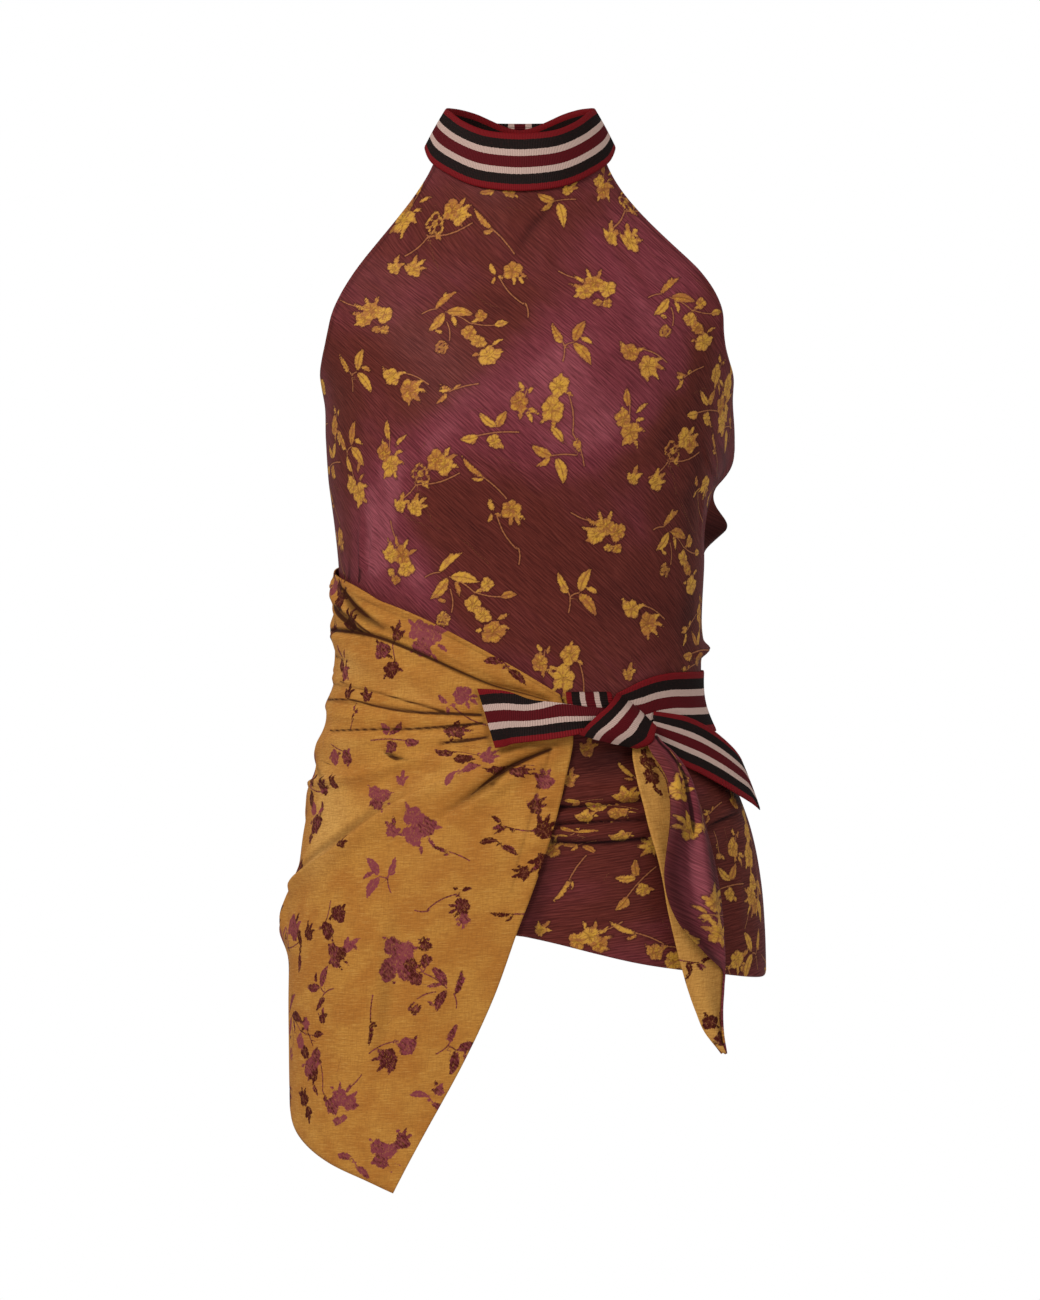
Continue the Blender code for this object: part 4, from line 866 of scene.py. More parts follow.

# Broad soft zones of painted light and shade: on the face the shot silk turns mauve where it is lit (above zero)
# and brown where it lies in shade (below), on the reverse lighter gold above zero and darker below: x, y in the view,
# half length, half width in mm, direction, strength.
WRAP_PAINTED_LIGHT = [
    (345, 668, 22, 14, 0, 0.55), (345, 745, 26, 8, 0, 0.4), (328, 800, 26, 26, 0, 0.7), (322, 850, 30, 18, 60, 0.6), (400, 690, 40, 12, -20, 0.35),
    (440, 660, 40, 8, -24, -0.25), (400, 800, 60, 12, 24, 0.35), (430, 880, 50, 40, 60, -0.2), (400, 1010, 60, 40, 0, -0.1),
]
FRONT_PAINTED_LIGHT = [
    (389, 462, 16, 11, 60, 0.7), (405, 342, 26, 17, 0, -0.55), (436, 384, 38, 15, 30, -0.5), (700, 302, 20, 12, 80, -0.5), (668, 502, 20, 14, 0, -0.4),
    (600, 882, 34, 11, 4, 0.55), (735, 830, 16, 60, 0, -0.4), (575, 790, 50, 14, 0, -0.5), (640, 930, 30, 12, 10, 0.3),
    (500, 312, 30, 18, 40, -0.6), (370, 562, 14, 8, -80, 1.6), (345, 330, 30, 12, 80, 0.2),
    (440, 240, 54, 30, 30, -0.5), (520, 215, 56, 22, 0, -0.45), (400, 308, 26, 8, 40, 0.15), (490, 300, 50, 24, 60, -0.5), (590, 225, 30, 14, 20, -0.45),
    (430, 335, 40, 18, 30, -0.35), (645, 275, 60, 22, -50, 0.85), (692, 285, 40, 9, -48, 0.7), (632, 268, 30, 6, -62, -0.7), (575, 335, 44, 24, 60, 0.65),
    (520, 390, 60, 22, 42, 0.9), (570, 410, 56, 28, 40, 0.8), (385, 472, 22, 11, 60, 0.6),
    (430, 448, 50, 14, 52, 1.2), (393, 500, 34, 9, 80, 1.0), (420, 572, 44, 10, -58, 0.9), (374, 528, 40, 10, -76, 1.5), (408, 576, 34, 13, -54, 0.9), (605, 430, 44, 20, 30, 1.0),
    (655, 335, 42, 16, -60, 0.8), (640, 520, 30, 8, -80, 0.25), (356, 545, 26, 7, 90, 0.6), (335, 300, 24, 6, 80, 0.4),
    (345, 400, 60, 20, 88, -1.0), (405, 375, 50, 22, -30, -0.7), (480, 350, 26, 12, 60, -0.3), (668, 430, 26, 13, 60, -1.5), (628, 462, 24, 12, 40, -0.7),
    (545, 560, 90, 36, -35, -0.9), (650, 610, 60, 26, -20, -0.9), (458, 525, 40, 16, -50, -0.8), (520, 490, 60, 14, 0, -0.4), (460, 610, 34, 14, -40, -0.8),
    (700, 370, 50, 12, 88, -0.8), (695, 480, 70, 17, 90, -1.3), (690, 620, 60, 18, 88, -0.9), (655, 545, 40, 20, 80, -0.4), (560, 650, 60, 16, -30, -0.5),
    (585, 890, 50, 14, 6, 0.0), (560, 945, 50, 10, 12, -0.3), (640, 870, 50, 26, 0, -1.1), (590, 820, 60, 22, 0, -0.9), (600, 765, 60, 14, 0, -1.3),
    (600, 915, 60, 20, 10, -0.5), (735, 880, 40, 40, 0, -0.7), (730, 950, 50, 22, 0, -0.7), (730, 800, 30, 20, 0, -0.9),
]


def stamp(field, s, t, kind, s0, t0, turn, size, mirror, squash=1.0, base=None):
    """Lays one sprig on the fields of a piece of cloth."""
    near = np.nonzero((s - s0) ** 2 + ((t - t0) / min(1.0, squash)) ** 2 < (54 * size) ** 2)[0]
    if not len(near):
        return
    c, q = math.cos(math.radians(turn)), math.sin(math.radians(turn))
    dx, dy = s[near] - s0, (t[near] - t0) / squash
    x = (dx * c + dy * q) / size * mirror
    y = (-dx * q + dy * c) / size
    shape, rib, tone = field["shape"][near], field["rib"][near], field["tone"][near]
    stem, stem_far, cap = field["stem"][near], field["stem_far"][near], field["cap"][near]
    for number, made in enumerate(SPRIGS[kind]):
        wave = math.sin(2.4 * number + 0.7 * s0 + 0.3 * t0)
        # a given base tone paints shade and light on the sprig; the wave varies it at random
        shade = 0.5 + 0.5 * wave if base is None else base + 0.18 * wave
        if made[0] in ("blossom", "outline"):
            form, cx, cy, radius, spin, petals = made
            px, py = x - cx, y - cy
            d = np.full(px.shape, 1e9)
            line = np.full(px.shape, 1e9)
            for k in range(petals):
                a = math.radians(spin + 360.0 * k / petals)
                swell = 1.0 + 0.13 * math.sin(2.1 * k + cx + cy)
                ux, uy = px * math.cos(a) + py * math.sin(a), -px * math.sin(a) + py * math.cos(a)
                long, wide = 0.54 * radius * swell, (0.50 if petals > 4 else 0.54) * radius * swell
                e = (np.hypot((ux - 0.5 * radius * swell) / long, uy / wide) - 1) * wide
                d = np.minimum(d, e)
                b = a + math.pi / petals
                across = -px * math.sin(b) + py * math.cos(b)
                ahead = px * math.cos(b) + py * math.sin(b)
                far = np.where(ahead > 0, np.abs(across), np.hypot(px, py))
                line = np.where(far < np.abs(line), np.where(ahead > 0, across, far), line)
            if form == "outline":
                d = np.abs(d + 0.9) - 0.75
            else:
                d = np.minimum(d, np.hypot(px, py) - 0.60 * radius)
        elif made[0] == "leaf":
            _, cx, cy, heading, length, wide = made
            a = math.radians(heading)
            px, py = x - cx, y - cy
            ux, uy = px * math.cos(a) + py * math.sin(a), -px * math.sin(a) + py * math.cos(a)
            uy = uy - 0.07 * length * np.sin(np.clip(ux / length, 0, 1) * math.pi)
            part = np.clip(ux / length, 0, 1)
            half = 0.5 * wide * np.sin(math.pi * part**0.8) ** 0.85
            past = np.maximum(0, np.maximum(-ux, ux - length))
            d = np.where(past > 0, np.hypot(past, np.maximum(0, np.abs(uy))), np.abs(uy) - half)
            line = np.where(wide > 4.5, uy, 9.0)
        else:
            _, x0, y0, x1, y1, bow = made
            n = np.array([-(y1 - y0), x1 - x0]) / math.hypot(x1 - x0, y1 - y0)
            k = np.linspace(0, 1, 6)
            path = np.stack([x0 + (x1 - x0) * k + n[0] * bow * np.sin(np.pi * k), y0 + (y1 - y0) * k + n[1] * bow * np.sin(np.pi * k)], 1)
            far, side, along = path_measure(path, x, y)
            past = np.where((along <= 0) | (along >= 1), np.sqrt(np.maximum(far**2 - side**2, 0)), -1.0)
            closer = far * size < stem_far
            stem = np.where(closer, side * size, stem)
            cap = np.where(closer, past * size, cap)
            stem_far = np.where(closer, far * size, stem_far)
            continue
        d = d * size
        closer = d < shape
        shape = np.where(closer, d, shape)
        rib = np.where(closer, line * size, rib)
        tone = np.where(closer & (d < 1.5), shade, tone)
    field["shape"][near], field["rib"][near], field["tone"][near] = shape, rib, tone
    field["stem"][near], field["stem_far"][near], field["cap"][near] = stem, stem_far, cap


def sprig_fields(s, t, placed, repeat_at, keep):
    """placed are the listed sprigs; the repeat fills the rest, where keep says so."""
    s, t = s.ravel(), t.ravel()
    field = {k: np.full(s.shape, v) for k, v in (("shape", 9.0), ("rib", 9.0), ("tone", 0.5), ("stem", 9.0), ("stem_far", 1e9), ("cap", 9.0))}
    for row in placed:
        stamp(field, s, t, *row)
    if repeat_at is not None:
        (ax, ay), (bx, by) = REPEAT_STEPS
        for i in range(-6, 7):
            for j in range(-5, 6):
                for kind, x, y, turn, size, mirror in REPEAT:
                    s0, t0 = repeat_at[0] + x + i * ax + j * bx, repeat_at[1] + y + i * ay + j * by
                    if s.min() - 40 < s0 < s.max() + 40 and t.min() - 40 < t0 < t.max() + 40 and keep(s0, t0):
                        stamp(field, s, t, kind, s0, t0, turn, size, mirror)
    field["shape"] = np.clip(field["shape"], -6, 6)
    field["rib"] = np.clip(field["rib"], -6, 6)
    field["stem"] = np.clip(field["stem"], -6, 6)
    field["cap"] = np.clip(field["cap"], -6, 6)
    del field["stem_far"]
    return field


def sprigs_seen(rows, out=0.0):
    """Listed sprigs, from their places in the front view."""
    placed = []
    for kind, x, y, turn, size, mirror, *more in rows:
        (s0, t0), = flat_seen([(x, y)], out)
        placed.append((kind, float(s0), float(t0), turn, size, mirror, *more))
    return placed


# ------------------------------------------------------------------ the panels' rules
# The zones of painted light and shade, summed into one value for the shot silk.
def shot_field(s, t, zones, out=0.0):
    total = np.zeros(s.shape)
    for x, y, long, wide, turn, strength in zones:
        (s0, t0), = flat_seen([(x, y)], out)
        a = math.radians(turn)
        dx, dy = s - s0, t - t0
        u, v = dx * math.cos(a) + dy * math.sin(a), -dx * math.sin(a) + dy * math.cos(a)
        total += strength * np.exp(-((u / long) ** 2) - (v / wide) ** 2)
    return total


# The hem's soft dip between the middle and the right side seam: bearing and depth.
HEM_DIP = [(-95, 0.0), (-25, 0.3), (8, 1.3), (25, 2.6), (38, 3.4), (50, 4.2), (64, 5.4), (76, 5.0), (87, 2.2), (95, 0.0)]


def front_place(u, v):
    down = 1 - v
    at = -UNDERARM_SEAM + 2 * UNDERARM_SEAM * u
    hem = column(HEM, 1, at) - column(HEM_DIP, 1, at)
    edge = np.abs(2 * u - 1) ** 1.6
    top = -13.5 * (1 - edge) - 3.0 * edge
    z = top + (hem - top) * down
    left, right = column(ARMHOLE, 1, z), column(ARMHOLE, 2, z)
    gap = SEAM_GAP / 2 / 2.2
    return (left + gap) * (1 - u) + (right - gap) * u, z


def front_rule(u, v):
    bearing, z = front_place(u, v)
    down = 1 - v
    s, t = flat(bearing, z)
    fine = crease_height(FRONT_CREASES, s, t) + crease_height(FRONT_HIDDEN, s, t, on_view=False)
    belt = soft_step(-345, -353, z) * (1 - soft_step(-398, -408, z)) * soft_step(20, 30, bearing)
    at_seams = soft_step(95, 86, np.abs(bearing))
    lift = fold_height(BODY_FOLDS, bearing, z) + fine * (1 - belt) * at_seams
    body = off_figure(bearing, z, lift)
    at = -NECKLINE_ENDS + 2 * NECKLINE_ENDS * u
    tucked = collar_point(at, 0.0)
    along_ribbon = collar_point(at, 1.0) - tucked
    along_ribbon /= np.linalg.norm(along_ribbon, axis=-1, keepdims=True)
    inward = np.stack([-np.sin(np.radians(at)), np.cos(np.radians(at)), 0 * at], -1)
    neck = tucked + along_ribbon * NECKLINE_TUCK + inward * 1.0
    below = neck - along_ribbon * (down / 0.055 * 3.2 * NECKLINE_TUCK)[..., None]
    join = (1 - soft_step(0.02, 0.13, down))[..., None]
    return below * join + body * (1 - join)


def back_place(u, v):
    gap = SEAM_GAP / 2 / 2.2
    bearing = (UNDERARM_SEAM + gap) * (1 - u) + (360 - UNDERARM_SEAM - gap) * u
    top, hem = column(BACK_TOP, 1, bearing), column(HEM, 1, bearing)
    return bearing, hem + (top - hem) * v


def back_rule(u, v):
    bearing, z = back_place(u, v)
    s, t = flat(bearing, z)
    fine = crease_height(BACK_CREASES, s, t, on_view=False)
    belt = soft_step(-345, -353, z) * (1 - soft_step(-398, -408, z))
    lift = fold_height(BACK_FOLDS, bearing, z) + fine * (1 - belt)
    seam = soft_step(95, 101, bearing) * (1 - soft_step(258, 265, bearing))
    from_front = fold_height(BODY_FOLDS, np.where(bearing > 180, bearing - 360, bearing), z)
    return off_figure(bearing, z, lift * seam + from_front * (1 - seam))


def wrap_place(u, v):
    down = 1 - v
    place = []
    for k in (1, 2):
        top, hem = column(WRAP_TOP, k, u), column(WRAP_HEM, k, u)
        front = column(WRAP_FRONT, k, down)
        if k == 1:
            front = front + 1.1 * np.sin(np.pi * np.clip((down - 0.2) / 0.78, 0, 1))
        else:
            hem = hem - 4.0 * np.exp(-(((u - 0.56) / 0.20) ** 2))
        a, b = WRAP_TOP[0][k], WRAP_TOP[-1][k]
        c, d = WRAP_HEM[0][k], WRAP_HEM[-1][k]
        seam = a + (c - a) * down
        corners = (1 - u) * (1 - down) * a + u * (1 - down) * b + (1 - u) * down * c + u * down * d
        place.append((1 - down) * top + down * hem + (1 - u) * seam + u * front - corners)
    return place


WRAP_OUT = WRAP_CLEAR + CLOTH


def wrap_rule(u, v):
    bearing, z = wrap_place(u, v)
    behind = soft_step(-95, -101, bearing)
    under = fold_height(BODY_FOLDS, bearing, z) * (1 - behind)
    under = under + fold_height(BACK_FOLDS, bearing + 360, z) * behind
    s, t = flat(bearing, z)
    fine = crease_height(WRAP_CREASES, s, t, WRAP_OUT) + crease_height(WRAP_HIDDEN, s, t, on_view=False)
    lift = fold_height(WRAP_FOLDS, bearing, z) + fine
    floor = -1.5
    lift = floor + np.where(lift - floor > 1.2, lift - floor, 1.2 * np.exp(np.minimum(0, (lift - floor) / 1.2 - 1)))
    stitched = -0.35 * np.exp(-((v * 300.0 - 6.0) / 0.9) ** 2)
    return off_figure(bearing, z, WRAP_OUT + np.maximum(0, under) + lift + stitched)


def waist_rule(u, v):
    bearing = WAIST_RIBBON[0][0] + (WAIST_RIBBON[-1][0] - WAIST_RIBBON[0][0]) * u
    z = column(WAIST_RIBBON, 1, bearing) + (2 * v - 1) * column(WAIST_RIBBON, 2, bearing)
    wave = 0.35 * np.sin(bearing * 0.21) * np.sin(np.pi * v) + 0.25 * np.sin(bearing * 0.11 + 3 * v)
    return off_figure(bearing, z, BELT_CLEAR + RIBBON + wave)


COLLAR_DROP = 0.082


def collar_rule(u, v):
    bearing = 360 * u
    # the heights' table runs both ways from centre front, so its first degrees are rounded,
    # and the front hangs a little lower along the ribbon's own slope
    from_front = np.abs((bearing + 180) % 360 - 180)
    rounded = (0.17 - 0.053 * v) * (np.sqrt(from_front**2 + 64.0) - from_front)
    lift = np.stack([0 * u, 0 * u, 1.0 + 0 * u], -1) * rounded[..., None]
    place = collar_point(bearing, v - (COLLAR_DROP + 0.022 * (1 - v)) * np.exp(-((from_front / 48.0) ** 2))) + lift
    out = np.stack([np.sin(np.radians(bearing)), -np.cos(np.radians(bearing)), 0 * u], -1)
    return place + out * (RIBBON + 0.4 * np.sin(np.pi * v) + 0.25 * np.sin(np.radians(bearing) * 5) * v)[..., None]


def strip_rule(rows, level=False, end_slant=0.0, ripple=0.0):
    table = [(i / (len(rows) - 1),) + tuple(r) for i, r in enumerate(rows)]

    def rule(u, v):
        bearing, z, out, half = (column(table, k, u) for k in (1, 2, 3, 4))
        e = 0.01
        per = girth_per_degree(bearing, z)
        run = (column(table, 1, u + e) - column(table, 1, u - e)) * per
        fall = column(table, 2, u + e) - column(table, 2, u - e)
        length = np.hypot(run, fall)
        side = (2 * v - 1) * half
        out = out + ripple * np.sin(9.0 * v + 2.2) * u**1.5
        if level:
            return off_figure(bearing + side / per, z, out)
        b = bearing - side * fall / length / per
        near_end = np.clip(1 - u * (len(rows) - 1) / 2, 0, 1)
        b = b + end_slant * (2 * v - 1) * near_end * np.sign(run) / per
        return off_figure(b, z + side * run / length, out)

    return rule


def knot_rule(u, v):
    table = [(i / (len(KNOT_BAND) - 1),) + row for i, row in enumerate(KNOT_BAND)]
    lead, mid, rest = (1 - v) * (1 - 2 * v), 4 * v * (1 - v), v * (2 * v - 1)

    def across(first, step):
        a, b, c = (column(table, first + step * k, u) for k in range(3))
        return a * lead + b * mid + c * rest

    pleat = 0.45 * np.sin(11.0 * v + 1.0 + 2.0 * u) * np.sin(np.pi * np.clip(u, 0, 1)) * np.sin(np.pi * v)
    return off_figure(across(1, 2), across(2, 2), across(7, 1) + pleat)


def hang_rule(rows):
    table = [(i / (len(rows) - 1),) + row for i, row in enumerate(rows)]

    def rule(u, v):
        x, y, z, half = (column(table, k, u) for k in (1, 2, 3, 4))
        return np.stack([x - (2 * v - 1) * half, y + 0.8 * np.sin(7 * u + 2 * v) * u, z], -1)

    return rule


def tail_rule(u, v):
    z = TAIL[-1][0] + (TAIL[0][0] - TAIL[-1][0]) * v
    left, fold, edge, out = (column(TAIL, k, z) for k in (1, 2, 3, 4))
    waist = np.exp(-(((z + 492) / 34.0) ** 2))
    left, edge = left + 0.8 * waist, edge - 1.9 * waist
    turn = 0.5
    back = np.clip(u / turn, 0, 1)
    front = np.clip((u - turn) / (1 - turn), 0, 1)
    room = np.clip((fold - edge) / 8.0, 0.12, 1)
    # a narrow second fold beside the front layer's free edge, high on the tail
    high = soft_step(-490, -462, z) * (1 - soft_step(-416, -406, z))
    ridge = 2.6 * np.exp(-(((front - 0.84) / 0.13) ** 2)) * high
    valley = 3.0 * np.exp(-(((front - 0.55) / 0.13) ** 2)) * soft_step(-520, -495, z) * (1 - soft_step(-440, -420, z))
    bearing = left + (fold - left) * back - (fold - edge) * front
    lift = TAIL_FOLD_DEPTH * room * soft_step(0, 0.35, front)
    swell = 2.5 * room * np.sin(np.pi * front)
    gentle = 0.9 * np.sin(back * 7.0 + z * 0.035) * (back < 1) * soft_step(0, 0.15, back) * (1 - soft_step(0.8, 1.0, back))
    low = soft_step(-545, -570, z)
    gentle = gentle + 2.2 * low * np.sin(np.pi * back) * (front <= 0)
    return off_figure(bearing, z, out + lift + swell + ridge * room - valley * room + gentle)


def collar_knot_rule(u, v):
    k = COLLAR_KNOT
    across = 2 * u - 1
    x = -k["half_width"] * across * (1 - 0.16 * np.sin(np.pi * v) * 0)
    z = k["bottom"] + (k["top"] - k["bottom"]) * v
    lean = (z + 2) / 35.0
    ring = 68 - 13 * np.clip(lean, 0, 1)
    pleat = 0.5 * np.sin(across * 9.0 + 2.0 * v) * np.sin(np.pi * v)
    y = ring + k["out"] + k["bulge"] * np.sin(np.pi * v) - 2.5 * across**2 + pleat
    return np.stack([x, y, z], -1)


# ------------------------------------------------------------------ making shells
def spread(n, even=1.0):
    """n + 1 places from 0 to 1, closer together in the middle where even is under 1."""
    w = np.linspace(-1, 1, n + 1)
    return 0.5 + 0.5 * w * (even + (1 - even) * w**2)


def behind_creases(outer, normal, coarse, ring):
    """How much deeper the inner face lies, so that its wider net stays behind each crease."""
    if coarse < 2:
        return np.zeros(outer.shape[:2])
    rows, cols = outer.shape[:2]
    drop = np.zeros((rows, cols))
    for i in range(-coarse, coarse + 1):
        for j in range(-coarse, coarse + 1):
            y = np.clip(np.arange(rows) + i, 0, rows - 1)
            x = np.arange(cols) + j
            x = x % (cols - 1) if ring else np.clip(x, 0, cols - 1)
            drop = np.maximum(drop, ((outer - outer[np.ix_(y, x)]) * normal).sum(-1))
    return np.minimum(0.75 * drop, 1.3)


def shell(name, rule, us, vs, wall, materials, values=None, uv=None, ring=False, inward=True, coarse=3, soften=0.3):
    """A thin sheet: a fine grid on its outer face, and an inner face one wall further in.
    values gives the attributes at the places (u, v); uv gives the flat coordinates."""
    nu, nv = len(us) - 1, len(vs) - 1
    u, v = np.meshgrid(us, vs)
    outer = rule(u, v)
    du = np.gradient(outer, axis=1)
    if ring:
        du[:, 0] = du[:, -1] = outer[:, 1] - outer[:, -2]
    dv = np.gradient(outer, axis=0)
    normal = np.cross(du, dv)
    normal /= np.maximum(np.linalg.norm(normal, axis=-1, keepdims=True), 1e-9)
    if not inward:
        normal = -normal
    inner = outer - normal * (wall + behind_creases(outer, normal, coarse, ring))[..., None]
    rolled = outer.copy()
    for rows in ((0, slice(None)), (-1, slice(None))) + (() if ring else ((slice(None), 0), (slice(None), -1))):
        rolled[rows] = outer[rows] - normal[rows] * wall * soften
    cu, cv = np.arange(0, nu + 1, coarse), np.arange(0, nv + 1, coarse)
    inner = inner[np.ix_(cv, cu)]
    count = (nv + 1) * (nu + 1)
    points = np.concatenate([rolled.reshape(-1, 3), inner.reshape(-1, 3)])
    index = np.arange(count).reshape(nv + 1, nu + 1)
    index_in = count + np.arange(len(cv) * len(cu)).reshape(len(cv), len(cu))
    if ring:
        index[:, -1] = index[:, 0]
        index_in[:, -1] = index_in[:, 0]
    a, b, c, d = index[:-1, :-1], index[:-1, 1:], index[1:, 1:], index[1:, :-1]
    quads = np.stack([a, b, c, d], -1).reshape(-1, 4)
    a, b, c, d = index_in[:-1, :-1], index_in[:-1, 1:], index_in[1:, 1:], index_in[1:, :-1]
    quads_in = np.stack([a, d, c, b], -1).reshape(-1, 4)
    if not inward:
        quads, quads_in = quads[:, ::-1], quads_in[:, ::-1]
    rim = []
    edges = [(index[0], index_in[0], 1), (index[-1], index_in[-1], -1)]
    if not ring:
        edges += [(index[:, 0], index_in[:, 0], -1), (index[:, -1], index_in[:, -1], 1)]
    for fine, rough, way in edges:
        for k in range(len(rough) - 1):
            run = [int(fine[k * coarse + m]) for m in range(coarse + 1)]
            loop = run[::-1] + [int(rough[k]), int(rough[k + 1])]
            rim.append(loop if (way > 0) == inward else loop[::-1])
    used = np.zeros(len(points), bool)
    used[quads.ravel()] = used[quads_in.ravel()] = True
    new = np.cumsum(used) - 1
    mesh = bpy.data.meshes.new(name)
    loops = np.concatenate([new[quads.ravel()], new[quads_in.ravel()]] + [new[np.array(r)] for r in rim])
    sizes = np.concatenate([np.full(len(quads) + len(quads_in), 4), [len(r) for r in rim]]).astype(int)
    mesh.vertices.add(int(used.sum()))
    mesh.vertices.foreach_set("co", (points[used] * MM).astype(np.float32).ravel())
    mesh.loops.add(len(loops))
    mesh.loops.foreach_set("vertex_index", loops.astype(np.int32))
    mesh.polygons.add(len(sizes))
    mesh.polygons.foreach_set("loop_start", (np.cumsum(sizes) - sizes).astype(np.int32))
    for material in materials:
        mesh.materials.append(material)
    which = np.zeros(len(sizes), np.int32)
    if len(materials) > 1:
        which[len(quads):len(quads) + len(quads_in)] = 1
    mesh.polygons.foreach_set("material_index", which)
    smooth = np.ones(len(sizes), bool)
    smooth[len(quads) + len(quads_in):] = False
    mesh.polygons.foreach_set("use_smooth", smooth)
    mesh.update(calc_edges=True)
    if mesh.validate(verbose=False):
        print("mesh put right:", name)
    for key, grid in (values or {}).items():
        both = np.concatenate([grid.ravel(), grid[np.ix_(cv, cu)].ravel()])
        made = mesh.attributes.new(key, "FLOAT", "POINT")
        made.data.foreach_set("value", both[used].astype(np.float32))
    if uv is not None:
        # a loop's own grid column keeps the seam of a ring whole
        x, y = uv
        flat_x = np.concatenate([x.ravel(), x[np.ix_(cv, cu)].ravel()])
        flat_y = np.concatenate([y.ravel(), y[np.ix_(cv, cu)].ravel()])
        plain = np.arange(count).reshape(nv + 1, nu + 1)
        plain_in = count + np.arange(len(cv) * len(cu)).reshape(len(cv), len(cu))
        q = np.stack([plain[:-1, :-1], plain[:-1, 1:], plain[1:, 1:], plain[1:, :-1]], -1).reshape(-1, 4)
        p = np.stack([plain_in[:-1, :-1], plain_in[1:, :-1], plain_in[1:, 1:], plain_in[:-1, 1:]], -1).reshape(-1, 4)
        if not inward:
            q, p = q[:, ::-1], p[:, ::-1]
        order = np.concatenate([q.ravel(), p.ravel()] + [np.array(r) for r in rim])
        layer = mesh.uv_layers.new(name="UVMap")
        layer.data.foreach_set("uv", np.stack([flat_x[order], flat_y[order]], 1).astype(np.float32).ravel())
    piece = bpy.data.objects.new("cloth_" + name, mesh)
    bpy.context.scene.collection.objects.link(piece)
    return piece


# ------------------------------------------------------------------ materials
class Looks:
    """A material's nodes, added one by one."""

    def __init__(self, name):
        self.material = bpy.data.materials.new(name)
        self.material.use_nodes = True
        self.tree = self.material.node_tree
        self.shader = self.tree.nodes["Principled BSDF"]

    def node(self, kind, **settings):
        made = self.tree.nodes.new(kind)
        for key, value in settings.items():
            setattr(made, key, value)
        return made

    def put(self, socket, value):
        if isinstance(value, bpy.types.NodeSocket):
            self.tree.links.new(value, socket)
        else:
            socket.default_value = value

    def math(self, operation, a, b=0.0, c=0.0, clamp=False):
        made = self.node("ShaderNodeMath", operation=operation, use_clamp=clamp)
        for socket, value in zip(made.inputs, (a, b, c)):
            self.put(socket, value)
        return made.outputs[0]

    def value(self, name):
        return self.node("ShaderNodeAttribute", attribute_name=name).outputs["Fac"]

    def step(self, value, low, high, to_low=0.0, to_high=1.0):
        made = self.node("ShaderNodeMapRange", interpolation_type="SMOOTHSTEP")
        for socket, number in zip(made.inputs, (value, low, high, to_low, to_high)):
            self.put(socket, number)
        return made.outputs[0]

    def mix(self, part, a, b, blend="MIX"):
        made = self.node("ShaderNodeMix", data_type="RGBA", blend_type=blend)
        self.put(made.inputs[0], part)
        self.put(made.inputs[6], a)
        self.put(made.inputs[7], b)
        return made.outputs[2]

    def place(self, turn, along, across):
        """Flat coordinates turned, then counted in lengths of along and across."""
        uv = self.node("ShaderNodeUVMap", uv_map="UVMap")
        made = self.node("ShaderNodeMapping", vector_type="TEXTURE")
        self.put(made.inputs["Rotation"], (0.0, 0.0, math.radians(turn)))
        self.put(made.inputs["Scale"], (along, across, 1.0))
        self.tree.links.new(uv.outputs[0], made.inputs["Vector"])
        return made.outputs[0]

    def noise(self, turn, along, across, detail=2.0, rough=0.5):
        made = self.node("ShaderNodeTexNoise", noise_dimensions="2D")
        self.tree.links.new(self.place(turn, along, across), made.inputs["Vector"])
        self.put(made.inputs["Scale"], 1.0)
        self.put(made.inputs["Detail"], detail)
        self.put(made.inputs["Roughness"], rough)
        return made.outputs["Fac"]

    def lines(self, turn, period, wander):
        """Fine threads side by side, from 0 to 1, a period in metres apart and a little uneven."""
        apart = self.node("ShaderNodeSeparateXYZ")
        self.tree.links.new(self.place(turn, period, period), apart.inputs[0])
        drift = self.math("MULTIPLY", self.math("SUBTRACT", self.noise(turn, 0.045, 0.0075, 2.0), 0.5), wander)
        count = self.math("ADD", apart.outputs[1], drift)
        return self.math("MULTIPLY_ADD", self.math("SINE", self.math("MULTIPLY", count, 2 * math.pi)), 0.5, 0.5)

    def bump(self, height, distance, strength=1.0, before=None):
        made = self.node("ShaderNodeBump")
        self.put(made.inputs["Strength"], strength)
        self.put(made.inputs["Distance"], distance)
        self.put(made.inputs["Height"], height)
        if before is not None:
            self.put(made.inputs["Normal"], before)
        return made.outputs[0]


def srgb(r, g, b, a=1.0):
    one = lambda c: (c / 255 / 12.92) if c / 255 <= 0.04045 else ((c / 255 + 0.055) / 1.055) ** 2.4
    return (one(r), one(g), one(b), a)


def motif_mask(k, stem_half=0.42):
    """How far each place is inside a sprig, from 0 to 1, with the weave's uneven edge."""
    stem = k.math("SUBTRACT", k.math("ABSOLUTE", k.value("stem")), stem_half)
    stem = k.math("MAXIMUM", stem, k.value("cap"))
    ragged = k.math("MULTIPLY", k.math("SUBTRACT", k.noise(45, 0.0021, 0.0012, 2.0, 0.65), 0.5), 2.2)
    d = k.math("MINIMUM", k.math("ADD", k.value("shape"), ragged), k.math("MULTIPLY_ADD", ragged, 0.4, stem))
    on_stem = k.step(k.math("SUBTRACT", k.value("shape"), stem), -0.2, 0.9)
    return k.step(d, 0.36, -0.30), d, on_stem


